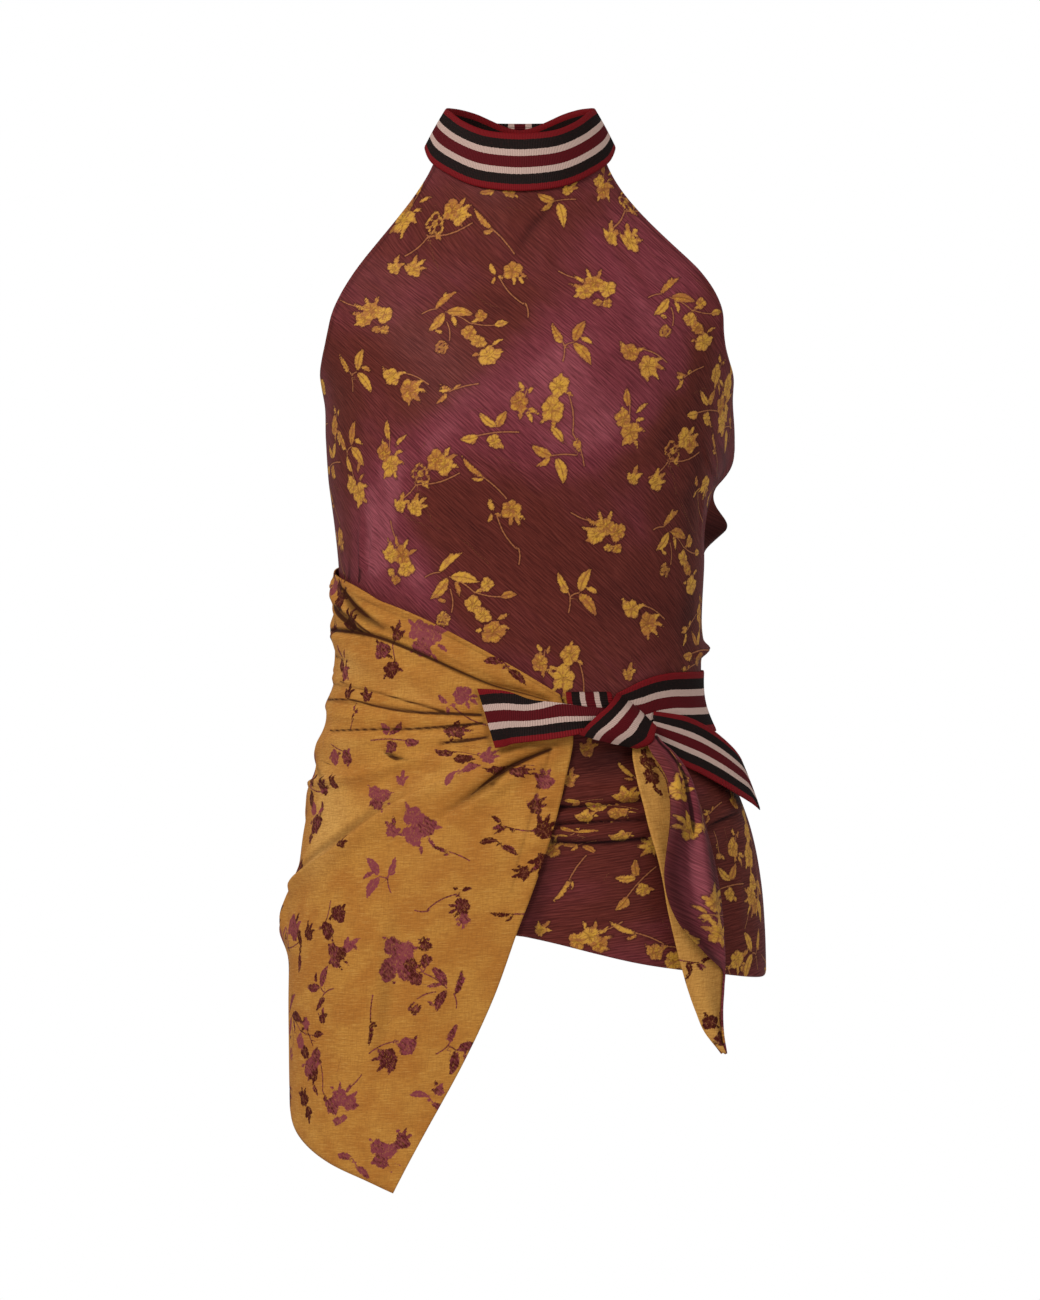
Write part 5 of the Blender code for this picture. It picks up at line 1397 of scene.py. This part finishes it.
def jacquard_face(name, slub_turn, low_turn):
    k = Looks(name)
    motif, d, on_stem = motif_mask(k, 0.34)
    low = k.value("below")
    high = k.math("SUBTRACT", 1.0, low)

    def thread_field(along, across, detail, rough):
        a = k.math("MULTIPLY", k.noise(slub_turn, along, across, detail, rough), high)
        return k.math("MULTIPLY_ADD", k.noise(low_turn, along * 1.1, across, detail, rough), low, a)

    slub = thread_field(0.016, 0.00085, 2.0, 0.6)
    thread = thread_field(0.009, 0.00055, 1.0, 0.5)
    twill = k.math("MULTIPLY", k.lines(slub_turn, 0.0020, 2.4), high)
    twill = k.math("MULTIPLY_ADD", k.lines(low_turn, 0.0019, 2.2), low, twill)
    broad = thread_field(0.060, 0.010, 2.0, 0.5)
    mottle = k.noise(20, 0.030, 0.022, 2.0)
    # The shot value: the painted light and shade zones plus random mottling; it picks the silk's mauve where lit and
    # its brown where shaded.
    shot = k.math("ADD", k.value("shot"), k.math("MULTIPLY", k.math("SUBTRACT", mottle, 0.5), 0.45))
    shot = k.math("ADD", shot, k.math("MULTIPLY", k.math("SUBTRACT", broad, 0.5), 0.7))
    # painted highlight: where the zones are strongest the silk goes to a highlight colour
    painted_highlight = k.step(shot, 0.75, 1.7, 0.0, 0.95)
    # painted shade: where the zones are lowest the silk goes to a dark shade colour
    painted_shade_part = k.step(shot, -0.85, -1.9)
    shot = k.step(shot, -0.8, 0.85)
    ground = k.mix(shot, srgb(*FACE_BROWN), srgb(*FACE_MAUVE))
    ground = k.mix(painted_highlight, ground, srgb(*FACE_PAINTED_HIGHLIGHT))
    ground = k.mix(painted_shade_part, ground, srgb(*FACE_PAINTED_SHADE))
    ground = k.mix(k.step(slub, 0.60, 0.34, 0.06, 0.44), ground, srgb(*FACE_DEEP))
    ground = k.mix(k.step(slub, 0.56, 0.76, 0.0, 0.30), ground, k.mix(shot, srgb(*BROWN_LIT), srgb(*FACE_LIT)))
    ground = k.mix(k.step(thread, 0.62, 0.36, 0.0, 0.24), ground, srgb(*FACE_DEEP))
    seen = k.step(k.noise(slub_turn, 0.020, 0.0045, 2.0), 0.34, 0.66, 0.35, 1.0)
    ground = k.mix(k.math("MULTIPLY", k.step(twill, 0.55, 0.05, 0.0, 0.20), seen), ground, srgb(*FACE_DEEP))
    ground = k.mix(k.math("MULTIPLY", k.step(twill, 0.55, 1.0, 0.0, 0.22), seen), ground, k.mix(shot, srgb(*BROWN_LIT), srgb(*FACE_LIT)))
    halo = k.step(d, 0.1, 1.4, 0.48, 0.0)
    ground = k.mix(halo, ground, srgb(*FACE_DEEP))
    grain = k.noise(-45, 0.0032, 0.0012, 3.0, 0.65)
    # a high tone gives lit gold and a low one dim gold; where a base tone is given this is painted light and shade
    bright = k.math("ADD", k.math("MULTIPLY", k.value("tone"), 0.45), k.math("MULTIPLY", grain, 0.95))
    gold = k.mix(k.step(bright, 0.40, 0.88), srgb(*GOLD_DIM), srgb(*GOLD_LIT))
    line = k.step(k.math("ABSOLUTE", k.value("rib")), 0.90, 0.05, 0.0, 0.72)
    line = k.math("MULTIPLY", line, k.step(grain, 0.30, 0.62, 0.35, 1.0))
    gold = k.mix(line, gold, srgb(*GOLD_LINE))
    blotch = k.noise(30, 0.0046, 0.0030, 3.0, 0.7)
    gold = k.mix(k.step(blotch, 0.52, 0.66, 0.0, 0.62), gold, srgb(*GOLD_RIM))
    gold = k.mix(k.step(blotch, 0.46, 0.34, 0.0, 0.55), gold, srgb(*GOLD_SUN))
    rim = k.step(d, -1.0, 0.1, 0.0, 0.60)
    gold = k.mix(rim, gold, srgb(*GOLD_RIM))
    gold = k.mix(k.math("MULTIPLY", on_stem, 0.75), gold, srgb(*GOLD_STEM))
    colour = k.mix(motif, ground, gold)
    # painted shade: the fold value darkens creases, hollows and the cloth beside the parts; it also draws two darker
    # hem lines
    colour = k.mix(k.value("fold"), colour, srgb(22, 8, 8), "MIX")
    # painted shade lines at the foot of the sharpest creases
    colour = k.mix(k.step(k.value("line"), 0.52, 0.80, 0.0, 0.85), colour, srgb(24, 8, 9), "MIX")
    k.put(k.shader.inputs["Base Color"], colour)
    k.put(k.shader.inputs["Roughness"], k.step(slub, 0.3, 0.75, 0.50, 0.38))
    k.put(k.shader.inputs["Specular IOR Level"], 0.22)
    k.put(k.shader.inputs["Specular Tint"], srgb(226, 160, 168))
    height = k.math("ADD", k.math("MULTIPLY", slub, 0.4), k.math("MULTIPLY", thread, 0.2))
    height = k.math("MULTIPLY_ADD", twill, 0.12, height)
    height = k.math("ADD", height, k.math("MULTIPLY", motif, k.math("MULTIPLY_ADD", grain, 0.5, 0.3)))
    height = k.math("SUBTRACT", height, k.math("MULTIPLY", line, k.math("MULTIPLY", motif, 0.3)))
    k.put(k.shader.inputs["Normal"], k.bump(height, 0.00030, 0.7))
    return k.material


def jacquard_reverse(name):
    k = Looks(name)
    motif, d, on_stem = motif_mask(k)
    slub = k.noise(4, 0.011, 0.0008, 2.0, 0.6)
    warp = k.noise(86, 0.009, 0.0008, 2.0, 0.6)
    weft = k.noise(4, 0.0028, 0.0006, 1.0)
    mottle = k.noise(30, 0.030, 0.022, 2.0)
    ground = k.mix(k.step(mottle, 0.3, 0.72), srgb(*REVERSE_WARM), srgb(*REVERSE_GOLD))
    # painted light and shade on the reverse: lighter gold in the lit zones, the dim thread colour in the shaded ones
    ground = k.mix(k.step(k.value("shot"), 0.0, 1.0, 0.0, 0.80), ground, srgb(*REVERSE_PAINTED_LIGHT))
    ground = k.mix(k.step(k.value("shot"), 0.0, -1.0, 0.0, 0.75), ground, srgb(*REVERSE_DIM))
    ground = k.mix(k.step(slub, 0.56, 0.34, 0.0, 0.34), ground, srgb(*REVERSE_DIM))
    ground = k.mix(k.step(warp, 0.54, 0.34, 0.0, 0.26), ground, srgb(*REVERSE_DIM))
    ground = k.mix(k.step(slub, 0.56, 0.78, 0.0, 0.40), ground, srgb(*REVERSE_LIT))
    ground = k.mix(k.step(weft, 0.60, 0.38, 0.0, 0.26), ground, srgb(*REVERSE_DIM))
    grain = k.noise(-45, 0.0040, 0.0014, 3.0, 0.65)
    # a high tone gives mauve and a low one dark; where a base tone is given this is painted light and shade
    hue = k.math("ADD", k.math("MULTIPLY", k.value("tone"), 0.8), k.math("MULTIPLY", k.math("SUBTRACT", grain, 0.42), 1.3))
    sprig = k.mix(k.step(hue, 0.18, 0.80), srgb(*REVERSE_DARK), srgb(*REVERSE_MAUVE))
    line = k.step(k.math("ABSOLUTE", k.value("rib")), 0.55, 0.08, 0.0, 0.34)
    line = k.math("MULTIPLY", line, k.step(grain, 0.35, 0.62, 0.2, 1.0))
    sprig = k.mix(line, sprig, srgb(*REVERSE_LINE))
    flecks = k.step(k.noise(80, 0.0026, 0.0013, 2.0, 0.6), 0.58, 0.70, 1.0, 0.62)
    colour = k.mix(k.math("MULTIPLY", motif, flecks), ground, sprig)
    # painted shade: the fold value darkens creases, hollows and the cloth beside the parts; it also draws two darker
    # hem lines
    colour = k.mix(k.value("fold"), colour, srgb(52, 24, 10), "MIX")
    # painted shade lines at the foot of the sharpest creases
    colour = k.mix(k.step(k.value("line"), 0.52, 0.80, 0.0, 0.88), colour, srgb(56, 20, 13), "MIX")
    k.put(k.shader.inputs["Base Color"], colour)
    k.put(k.shader.inputs["Roughness"], k.step(slub, 0.3, 0.75, 0.62, 0.50))
    k.put(k.shader.inputs["Specular IOR Level"], 0.16)
    k.put(k.shader.inputs["Specular Tint"], srgb(240, 206, 160))
    height = k.math("ADD", k.math("MULTIPLY", slub, 0.35), k.math("MULTIPLY", warp, 0.25))
    height = k.math("MULTIPLY_ADD", weft, 0.25, height)
    height = k.math("SUBTRACT", height, k.math("MULTIPLY", motif, 0.3))
    k.put(k.shader.inputs["Normal"], k.bump(height, 0.00042, 0.7))
    return k.material


def grosgrain(name):
    """Ribs across the ribbon, stripes along it: V runs across from 0 to 1, U along."""
    k = Looks(name)
    uv = k.node("ShaderNodeUVMap", uv_map="UVMap")
    apart = k.node("ShaderNodeSeparateXYZ")
    k.tree.links.new(uv.outputs[0], apart.inputs[0])
    along, across = apart.outputs[0], apart.outputs[1]
    wobble = k.math("MULTIPLY", k.math("SUBTRACT", k.noise(0, 0.0011, 0.05, 1.0), 0.5), 0.016)
    ramp = k.node("ShaderNodeValToRGB")
    ramp.color_ramp.interpolation = "CONSTANT"
    stops = [(0.0, RIBBON_EDGE), (0.11, RIBBON_BLACK), (0.287, RIBBON_WHITE), (0.40, RIBBON_WINE), (0.60, RIBBON_WHITE), (0.713, RIBBON_BLACK), (0.89, RIBBON_EDGE)]
    ramp.color_ramp.elements[0].position, ramp.color_ramp.elements[0].color = stops[0][0], srgb(*stops[0][1])
    ramp.color_ramp.elements[1].position, ramp.color_ramp.elements[1].color = stops[1][0], srgb(*stops[1][1])
    for at, colour in stops[2:]:
        ramp.color_ramp.elements.new(at).color = srgb(*colour)
    k.tree.links.new(k.math("ADD", across, wobble), ramp.inputs["Fac"])
    rib = k.math("MULTIPLY_ADD", k.math("SINE", k.math("MULTIPLY", along, 2 * math.pi / 0.00115)), 0.5, 0.5)
    fleck = k.noise(0, 0.0024, 0.02, 3.0, 0.6)
    colour = k.mix(k.math("MULTIPLY", k.math("SUBTRACT", 1.0, rib), 0.34), ramp.outputs[0], srgb(16, 8, 9))
    colour = k.mix(k.step(fleck, 0.45, 0.8, 0.0, 0.08), colour, srgb(128, 50, 50))
    k.put(k.shader.inputs["Base Color"], colour)
    k.put(k.shader.inputs["Roughness"], k.step(rib, 0.0, 1.0, 0.72, 0.56))
    k.put(k.shader.inputs["Specular IOR Level"], 0.14)
    k.put(k.shader.inputs["Normal"], k.bump(k.math("ADD", rib, k.math("MULTIPLY", fleck, 0.4)), 0.00032, 0.8))
    return k.material


# Colours, from 0 to 255.
FACE_MAUVE = (137, 60, 70)
FACE_BROWN = (111, 49, 40)
# painted shade of the shot silk
FACE_PAINTED_SHADE = (78, 33, 28)
FACE_DEEP = (50, 14, 13)
FACE_LIT = (172, 90, 92)
BROWN_LIT = (138, 70, 59)
# painted highlight of the shot silk
FACE_PAINTED_HIGHLIGHT = (174, 90, 101)
GOLD_LIT = (218, 162, 66)
GOLD_SUN = (222, 168, 56)
GOLD_DIM = (178, 112, 52)
GOLD_LINE = (108, 54, 26)
GOLD_RIM = (164, 100, 62)
GOLD_STEM = (170, 104, 70)
REVERSE_GOLD = (206, 144, 64)
REVERSE_WARM = (191, 124, 52)
# the darker thread colour, also used as painted shade
REVERSE_DIM = (152, 96, 42)
# painted light of the reverse's gold
REVERSE_PAINTED_LIGHT = (232, 178, 96)
REVERSE_LIT = (220, 170, 92)
REVERSE_MAUVE = (140, 63, 72)
REVERSE_DARK = (74, 20, 17)
REVERSE_LINE = (168, 100, 70)
RIBBON_EDGE = (134, 14, 22)
RIBBON_BLACK = (31, 20, 17)
RIBBON_WHITE = (222, 188, 174)
RIBBON_WINE = (100, 9, 19)

face = jacquard_face("burgundy jacquard, face", -42, 6)
tail_face = jacquard_face("burgundy jacquard, face of the tail", 38, 38)
reverse = jacquard_reverse("gold reverse of the jacquard")
ribbon = grosgrain("striped grosgrain ribbon, woven")


# ------------------------------------------------------------------ the pieces
def cloth_values(field, shape, shot, below, fold, line=0.0):
    values = {key: field[key].reshape(shape) for key in ("shape", "rib", "tone", "stem", "cap")}
    # The shot value holds the painted light and shade zones, fold the painted shade and two darker hem lines, line the
    # painted shade lines at the crease feet.
    values.update(shot=shot, below=below, fold=np.clip(fold, 0, 0.75), line=np.zeros(shape) + line)
    return values


def seen_side(bearing):
    return np.abs(np.asarray(bearing)) < 66


def front_piece():
    us, vs = spread(228, 0.72), np.linspace(0, 1, 373)
    u, v = np.meshgrid(us, vs)
    bearing, z = front_place(u, v)
    s, t = flat(bearing, z)
    origin = flat_seen([(371, 314)])[0]
    side = float(flat(np.array([66.0]), np.array([-300.0]))[0][0])
    field = sprig_fields(s, t, sprigs_seen(FRONT_SPRIGS), origin, lambda a, b: abs(a) > side * 1.04)
    # painted light and shade of the shot silk on the front
    shot = shot_field(s, t, FRONT_PAINTED_LIGHT)
    # painted shade in the front's creases and hollows and beside the knot, tail and wrap
    fold = crease_height(FRONT_PAINTED_SHADE, s, t)
    from_edge = np.minimum(s - s[:, :1], s[:, -1:] - s)
    # a darker line of the armhole hems' stitching, 3.4 mm in from the edges
    fold = fold + 0.34 * np.exp(-(((from_edge - 3.4) / 1.0) ** 2)) * soft_step(-150, -120, z) * (1 - soft_step(-16, -8, z))
    # painted shade lines at the front's crease feet
    values = cloth_values(field, s.shape, shot, soft_step(-368, -384, z), fold, crease_shade_lines(FRONT_SHADE_LINES, s, t))
    return shell("front_panel", front_rule, us, vs, 1.0, [face, reverse], values, (s * MM, t * MM))


def back_piece():
    us, vs = np.linspace(0, 1, 241), np.linspace(0, 1, 181)
    u, v = np.meshgrid(us, vs)
    bearing, z = back_place(u, v)
    s, t = flat(bearing, z)
    origin = flat_seen([(371, 314)])[0]
    hollow_s, hollow_t = (float(x[0]) for x in flat(np.array([104.0]), np.array([-255.0])))
    field = sprig_fields(s, t, [], origin, lambda a, b: abs(a - hollow_s) > 26 or abs(b - hollow_t) > 34)
    # painted shade in the cowl's hollow under the right arm
    fold = 0.72 * np.exp(-(((bearing - 99) / 9.0) ** 2) - ((z + 254) / 17.0) ** 2)
    shot = 0.5 * np.sin(s / 47.0 + t / 60.0) + 0.3 * np.sin(s / 23.0 - t / 35.0 + 1.0) - 0.1
    values = cloth_values(field, s.shape, shot, soft_step(-368, -384, z), fold)
    return shell("back_panel", back_rule, us, vs, 1.0, [face, reverse], values, (s * MM, t * MM))


def wrap_piece():
    us, vs = np.linspace(0, 1, 301), np.linspace(0, 1, 241)
    u, v = np.meshgrid(us, vs)
    bearing, z = wrap_place(u, v)
    s, t = flat(bearing, z)
    origin = flat_seen([(400, 1000)], WRAP_OUT)[0]
    edge = float(flat(np.array([-72.0]), np.array([-450.0]))[0][0])
    field = sprig_fields(s, t, sprigs_seen(WRAP_SPRIGS, WRAP_OUT), origin, lambda a, b: a < edge - 14)
    fine = crease_height(WRAP_CREASES, s, t, WRAP_OUT)
    # painted shade in the creases' troughs and along the listed paths
    fold = 0.22 * np.clip(-fine - 0.6, 0, 2.4) + crease_height(WRAP_PAINTED_SHADE, s, t, WRAP_OUT)
    # a darker line 7 mm below the top edge, on the sides the front shows
    fold = fold + 0.30 * np.exp(-((((1 - v) * 300.0 - 7.0) / 1.0) ** 2)) * seen_side(bearing)
    # painted light and shade zones on the reverse's gold, and painted shade lines at the crease feet
    values = cloth_values(field, s.shape, shot_field(s, t, WRAP_PAINTED_LIGHT, WRAP_OUT), np.zeros(s.shape), fold, crease_shade_lines(WRAP_SHADE_LINES, s, t, WRAP_OUT))
    return shell("wrap_panel", wrap_rule, us, vs, 1.0, [reverse, face], values, (s * MM, t * MM), coarse=2)


def tail_piece():
    us, vs = np.linspace(0, 1, 73), np.linspace(0, 1, 181)
    u, v = np.meshgrid(us, vs)
    z = TAIL[-1][0] + (TAIL[0][0] - TAIL[-1][0]) * v
    left, fold_at, edge = (column(TAIL, k, z) for k in (1, 2, 3))
    per = 2.45
    back, front = np.clip(u / 0.5, 0, 1), np.clip((u - 0.5) / 0.5, 0, 1)
    s = np.where(u < 0.5, -(fold_at - left) * (1 - back) * per, (fold_at - edge) * front * per)
    t = z - TAIL[0][0]
    placed = [(kind, x, y, *more) for kind, x, y, *more in TAIL_FACE] + [(kind, x, y, *more) for kind, x, y, *more in TAIL_REVERSE]
    field = sprig_fields(s, t, placed, None, lambda a, b: False)
    # painted sheen: the shot silk's mauve across the front layer's swelling middle, strongest near z -490; the back
    # layer's gold gets a fixed painted light
    shot = 1.5 * np.exp(-(((front - 0.46) / 0.28) ** 2)) * (0.30 + 0.70 * np.exp(-(((z + 490) / 40.0) ** 2))) + 0.05
    shot = np.where(front > 0, shot, 0.6)
    low = soft_step(-430, -470, z) * (1 - soft_step(-560, -590, z))
    # painted shade in the tail's folds: under the front layer, beside its edges and in its hollows
    fold = 0.62 * np.exp(-(((front - 0.86) / 0.22) ** 2)) * low * (front > 0)
    fold = fold + 0.45 * np.exp(-(((front - 0.52) / 0.06) ** 2)) * soft_step(-486, -462, z)
    fold = fold + 0.50 * np.exp(-(((back - 0.36) / 0.10) ** 2)) * soft_step(-452, -420, z) * (front <= 0)
    fold = fold + 0.30 * soft_step(0.55, 1.0, back) * (front <= 0) * (1 - soft_step(-560, -600, z) * 0)
    fold = fold + 0.55 * np.exp(-(((front - 0.10) / 0.13) ** 2) - ((z + 482) / 30.0) ** 2) * (front > 0)
    # a painted shade line along the second fold, on the tail's front layer
    second = 1.0 - np.abs(s - 0.47 * (fold_at - edge) * per) / 3.0 - 0.6 * soft_step(-458, -472, z)
    values = cloth_values(field, s.shape, shot, np.zeros(s.shape), fold, second * (front > 0))
    return shell("fabric_tail", tail_rule, us, vs, 0.9, [reverse, tail_face], values, (s * MM, t * MM), coarse=1)


TAIL_FACE = [
    ("flower", 17.5, -38.0, 0, 1.15, -1, 1.0, 0.7), ("twig", 12.0, -26.0, 100, 0.7, 1, 1.0, 0.6), ("flower", 14.5, -63.0, 10, 1.15, 1, 1.0, 0.7),
    ("twig", 7.0, -60.0, 110, 0.8, 1, 1.0, 0.6), ("flower", 7.5, -110.0, 0, 1.2, -1, 1.0, 0.6), ("twig", 13.0, -118.0, 180, 0.9, 1, 1.0, 0.6),
    ("flower", 7.5, -130.0, 20, 1.2, 1, 1.0, 0.6), ("leaf_trio", 2.5, -130.0, 0, 0.6, 1, 1.0, 0.6), ("flower", 25.0, -136.0, 0, 0.9, 1, 1.0, 0.6),
]
TAIL_REVERSE = [
    ("stacked", -27.0, -27.0, -8, 0.62, 1, 1.0, 0.02), ("leaf_pair", -24.0, -14.0, 80, 0.5, 1, 1.0, 0.02), ("twig", -18.0, -151.0, 160, 0.85, 1, 1.0, 0.35), ("leaf_pair", -25.0, -160.0, 290, 0.6, 1, 1.0, 0.05),
    ("two_flowers", -5.5, -196.0, 0, 0.8, 1, 1.0, 0.05),
]


def ribbon_piece(name, rule, nu, nv, length, flip=False, ring=False, inward=True, warp=None, upright=False):
    us, vs = np.linspace(0, 1, nu + 1), np.linspace(0, 1, nv + 1)
    u, v = np.meshgrid(us, vs)
    across = 1 - v if flip else v
    if warp is not None:
        across = warp(u, across)
    flat_places = (v * length * MM, u) if upright else (u * length * MM, across)
    return shell(name, rule, us, vs, 0.9, [ribbon], {}, flat_places, ring=ring, inward=inward)


def end_warp(u, v):
    """The left end's stripes as the knot gathers them: the upper ones are drawn under."""
    gathered = column([(0.0, 0.0), (0.17, 0.11), (0.43, 0.287), (0.60, 0.40), (1.0, 0.60)], 1, v)
    part = column([(0.0, 0.0), (0.25, 0.22), (0.49, 0.65), (0.62, 0.95), (0.75, 1.0), (1.0, 1.0)], 1, u)
    return v * (1 - part) + gathered * part


def tip_warp(u, v):
    """The right end's tip turns a little, and its lower red edge goes out of sight."""
    return v + 0.125 * (1 - v) * soft_step(0.84, 0.97, u)


made = {
    "front_panel": front_piece(),
    "back_panel": back_piece(),
    "wrap_panel": wrap_piece(),
    "fabric_tail": tail_piece(),
    "collar": ribbon_piece("collar", collar_rule, 300, 30, 360.0, ring=True),
    "waist_ribbon": ribbon_piece("waist_ribbon", waist_rule, 480, 30, 370.0),
    "ribbon_end_left": ribbon_piece("ribbon_end_left", strip_rule(RIBBON_END_LEFT, end_slant=-6.0, ripple=0.7), 96, 42, 66.0, warp=end_warp),
    "ribbon_end_right": ribbon_piece("ribbon_end_right", strip_rule(RIBBON_END_RIGHT), 108, 42, 120.0, warp=tip_warp),
    "knot_band": ribbon_piece("knot_band", knot_rule, 72, 54, 44.0),
    "knot_loop": ribbon_piece("knot_loop", strip_rule(KNOT_LOOP, level=True), 42, 42, 24.0),
    "collar_knot": ribbon_piece("collar_knot", collar_knot_rule, 48, 60, 52.0, upright=True),
    "collar_end_left": ribbon_piece("collar_end_left", hang_rule(COLLAR_END_LEFT), 90, 36, 108.0),
    "collar_end_right": ribbon_piece("collar_end_right", hang_rule(COLLAR_END_RIGHT), 90, 36, 98.0),
}


def mesh_area(obj):
    return sum(p.area for p in obj.data.polygons)


for name, piece in made.items():
    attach(piece, "root")
    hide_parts(name)
for name, piece in made.items():
    print("%s one face %.5f m2, faces %d" % (name, mesh_area(piece) / 2, len(piece.data.polygons)))

# ------------------------------------------------------------------ the studio
AMBIENT = 0.40
GLOSS_AMBIENT = 0.14
floor_mesh = bpy.data.meshes.new("floor")
floor_mesh.from_pydata([(-1.2, -1.2, -1.4), (1.2, -1.2, -1.4), (1.2, 1.2, -1.4), (-1.2, 1.2, -1.4)], [], [(0, 1, 2, 3)])
floor_obj = bpy.data.objects.new("floor", floor_mesh)
bpy.context.scene.collection.objects.link(floor_obj)
pale = Looks("pale floor")
k = pale.noise(0, 0.4, 0.4, 2.0)
pale.put(pale.shader.inputs["Base Color"], pale.mix(pale.step(k, 0.3, 0.7, 0.0, 0.3), (0.82, 0.81, 0.80, 1), (0.78, 0.77, 0.76, 1)))
pale.put(pale.shader.inputs["Roughness"], 0.9)
floor_mesh.materials.append(pale.material)

# White to the camera, and dimmer as a light, so that the lamps give the folds their shape.
world = bpy.data.worlds.new("studio")
bpy.context.scene.world = world
world.use_nodes = True
tree = world.node_tree
background = tree.nodes["Background"]
background.inputs["Color"].default_value = (1.0, 1.0, 1.0, 1.0)
ray = tree.nodes.new("ShaderNodeLightPath")
power = tree.nodes.new("ShaderNodeMath")
power.operation = "MULTIPLY_ADD"
power.inputs[1].default_value = 1.0 - AMBIENT
power.inputs[2].default_value = AMBIENT
gloss = tree.nodes.new("ShaderNodeMath")
gloss.operation = "MULTIPLY_ADD"
gloss.inputs[1].default_value = GLOSS_AMBIENT - AMBIENT
tree.links.new(ray.outputs["Is Camera Ray"], power.inputs[0])
tree.links.new(ray.outputs["Is Glossy Ray"], gloss.inputs[0])
tree.links.new(power.outputs[0], gloss.inputs[2])
tree.links.new(gloss.outputs[0], background.inputs["Strength"])


def lamp(name, at, to, size, power, colour, glossy=True):
    data = bpy.data.lights.new(name, "AREA")
    data.shape = "SQUARE"
    data.size = size
    data.energy = power
    data.color = colour
    made = bpy.data.objects.new(name, data)
    made.location = at
    made.visible_glossy = glossy
    made.rotation_euler = (Vector(to) - Vector(at)).to_track_quat("-Z", "Y").to_euler()
    bpy.context.scene.collection.objects.link(made)
    return made


lamp("key, upper left", (-1.55, -2.35, 1.35), (0.0, 0.0, -0.35), 1.3, 51.5, (1.0, 0.99, 0.98))
lamp("fill, right", (2.1, -1.9, 0.1), (0.0, 0.0, -0.35), 1.6, 7.0, (0.98, 0.99, 1.0))
lamp("behind, left", (-1.7, 2.3, 1.1), (0.0, 0.0, -0.35), 1.5, 26.0, (1.0, 1.0, 1.0), glossy=False)
lamp("behind, right", (1.7, 2.3, 1.3), (0.0, 0.0, -0.35), 1.5, 30.0, (1.0, 1.0, 1.0), glossy=False)

camera_data = bpy.data.cameras.new("camera")
camera_data.lens = 118.7
camera_data.sensor_width = 36.0
camera_data.sensor_fit = "AUTO"
camera = bpy.data.objects.new("camera", camera_data)
camera.location = (0.0, -3.0, -0.3374)
camera.rotation_euler = (math.radians(90), 0.0, 0.0)
bpy.context.scene.collection.objects.link(camera)
bpy.context.scene.camera = camera
bpy.context.scene.view_settings.view_transform = "Standard"
bpy.context.scene.view_settings.look = "None"
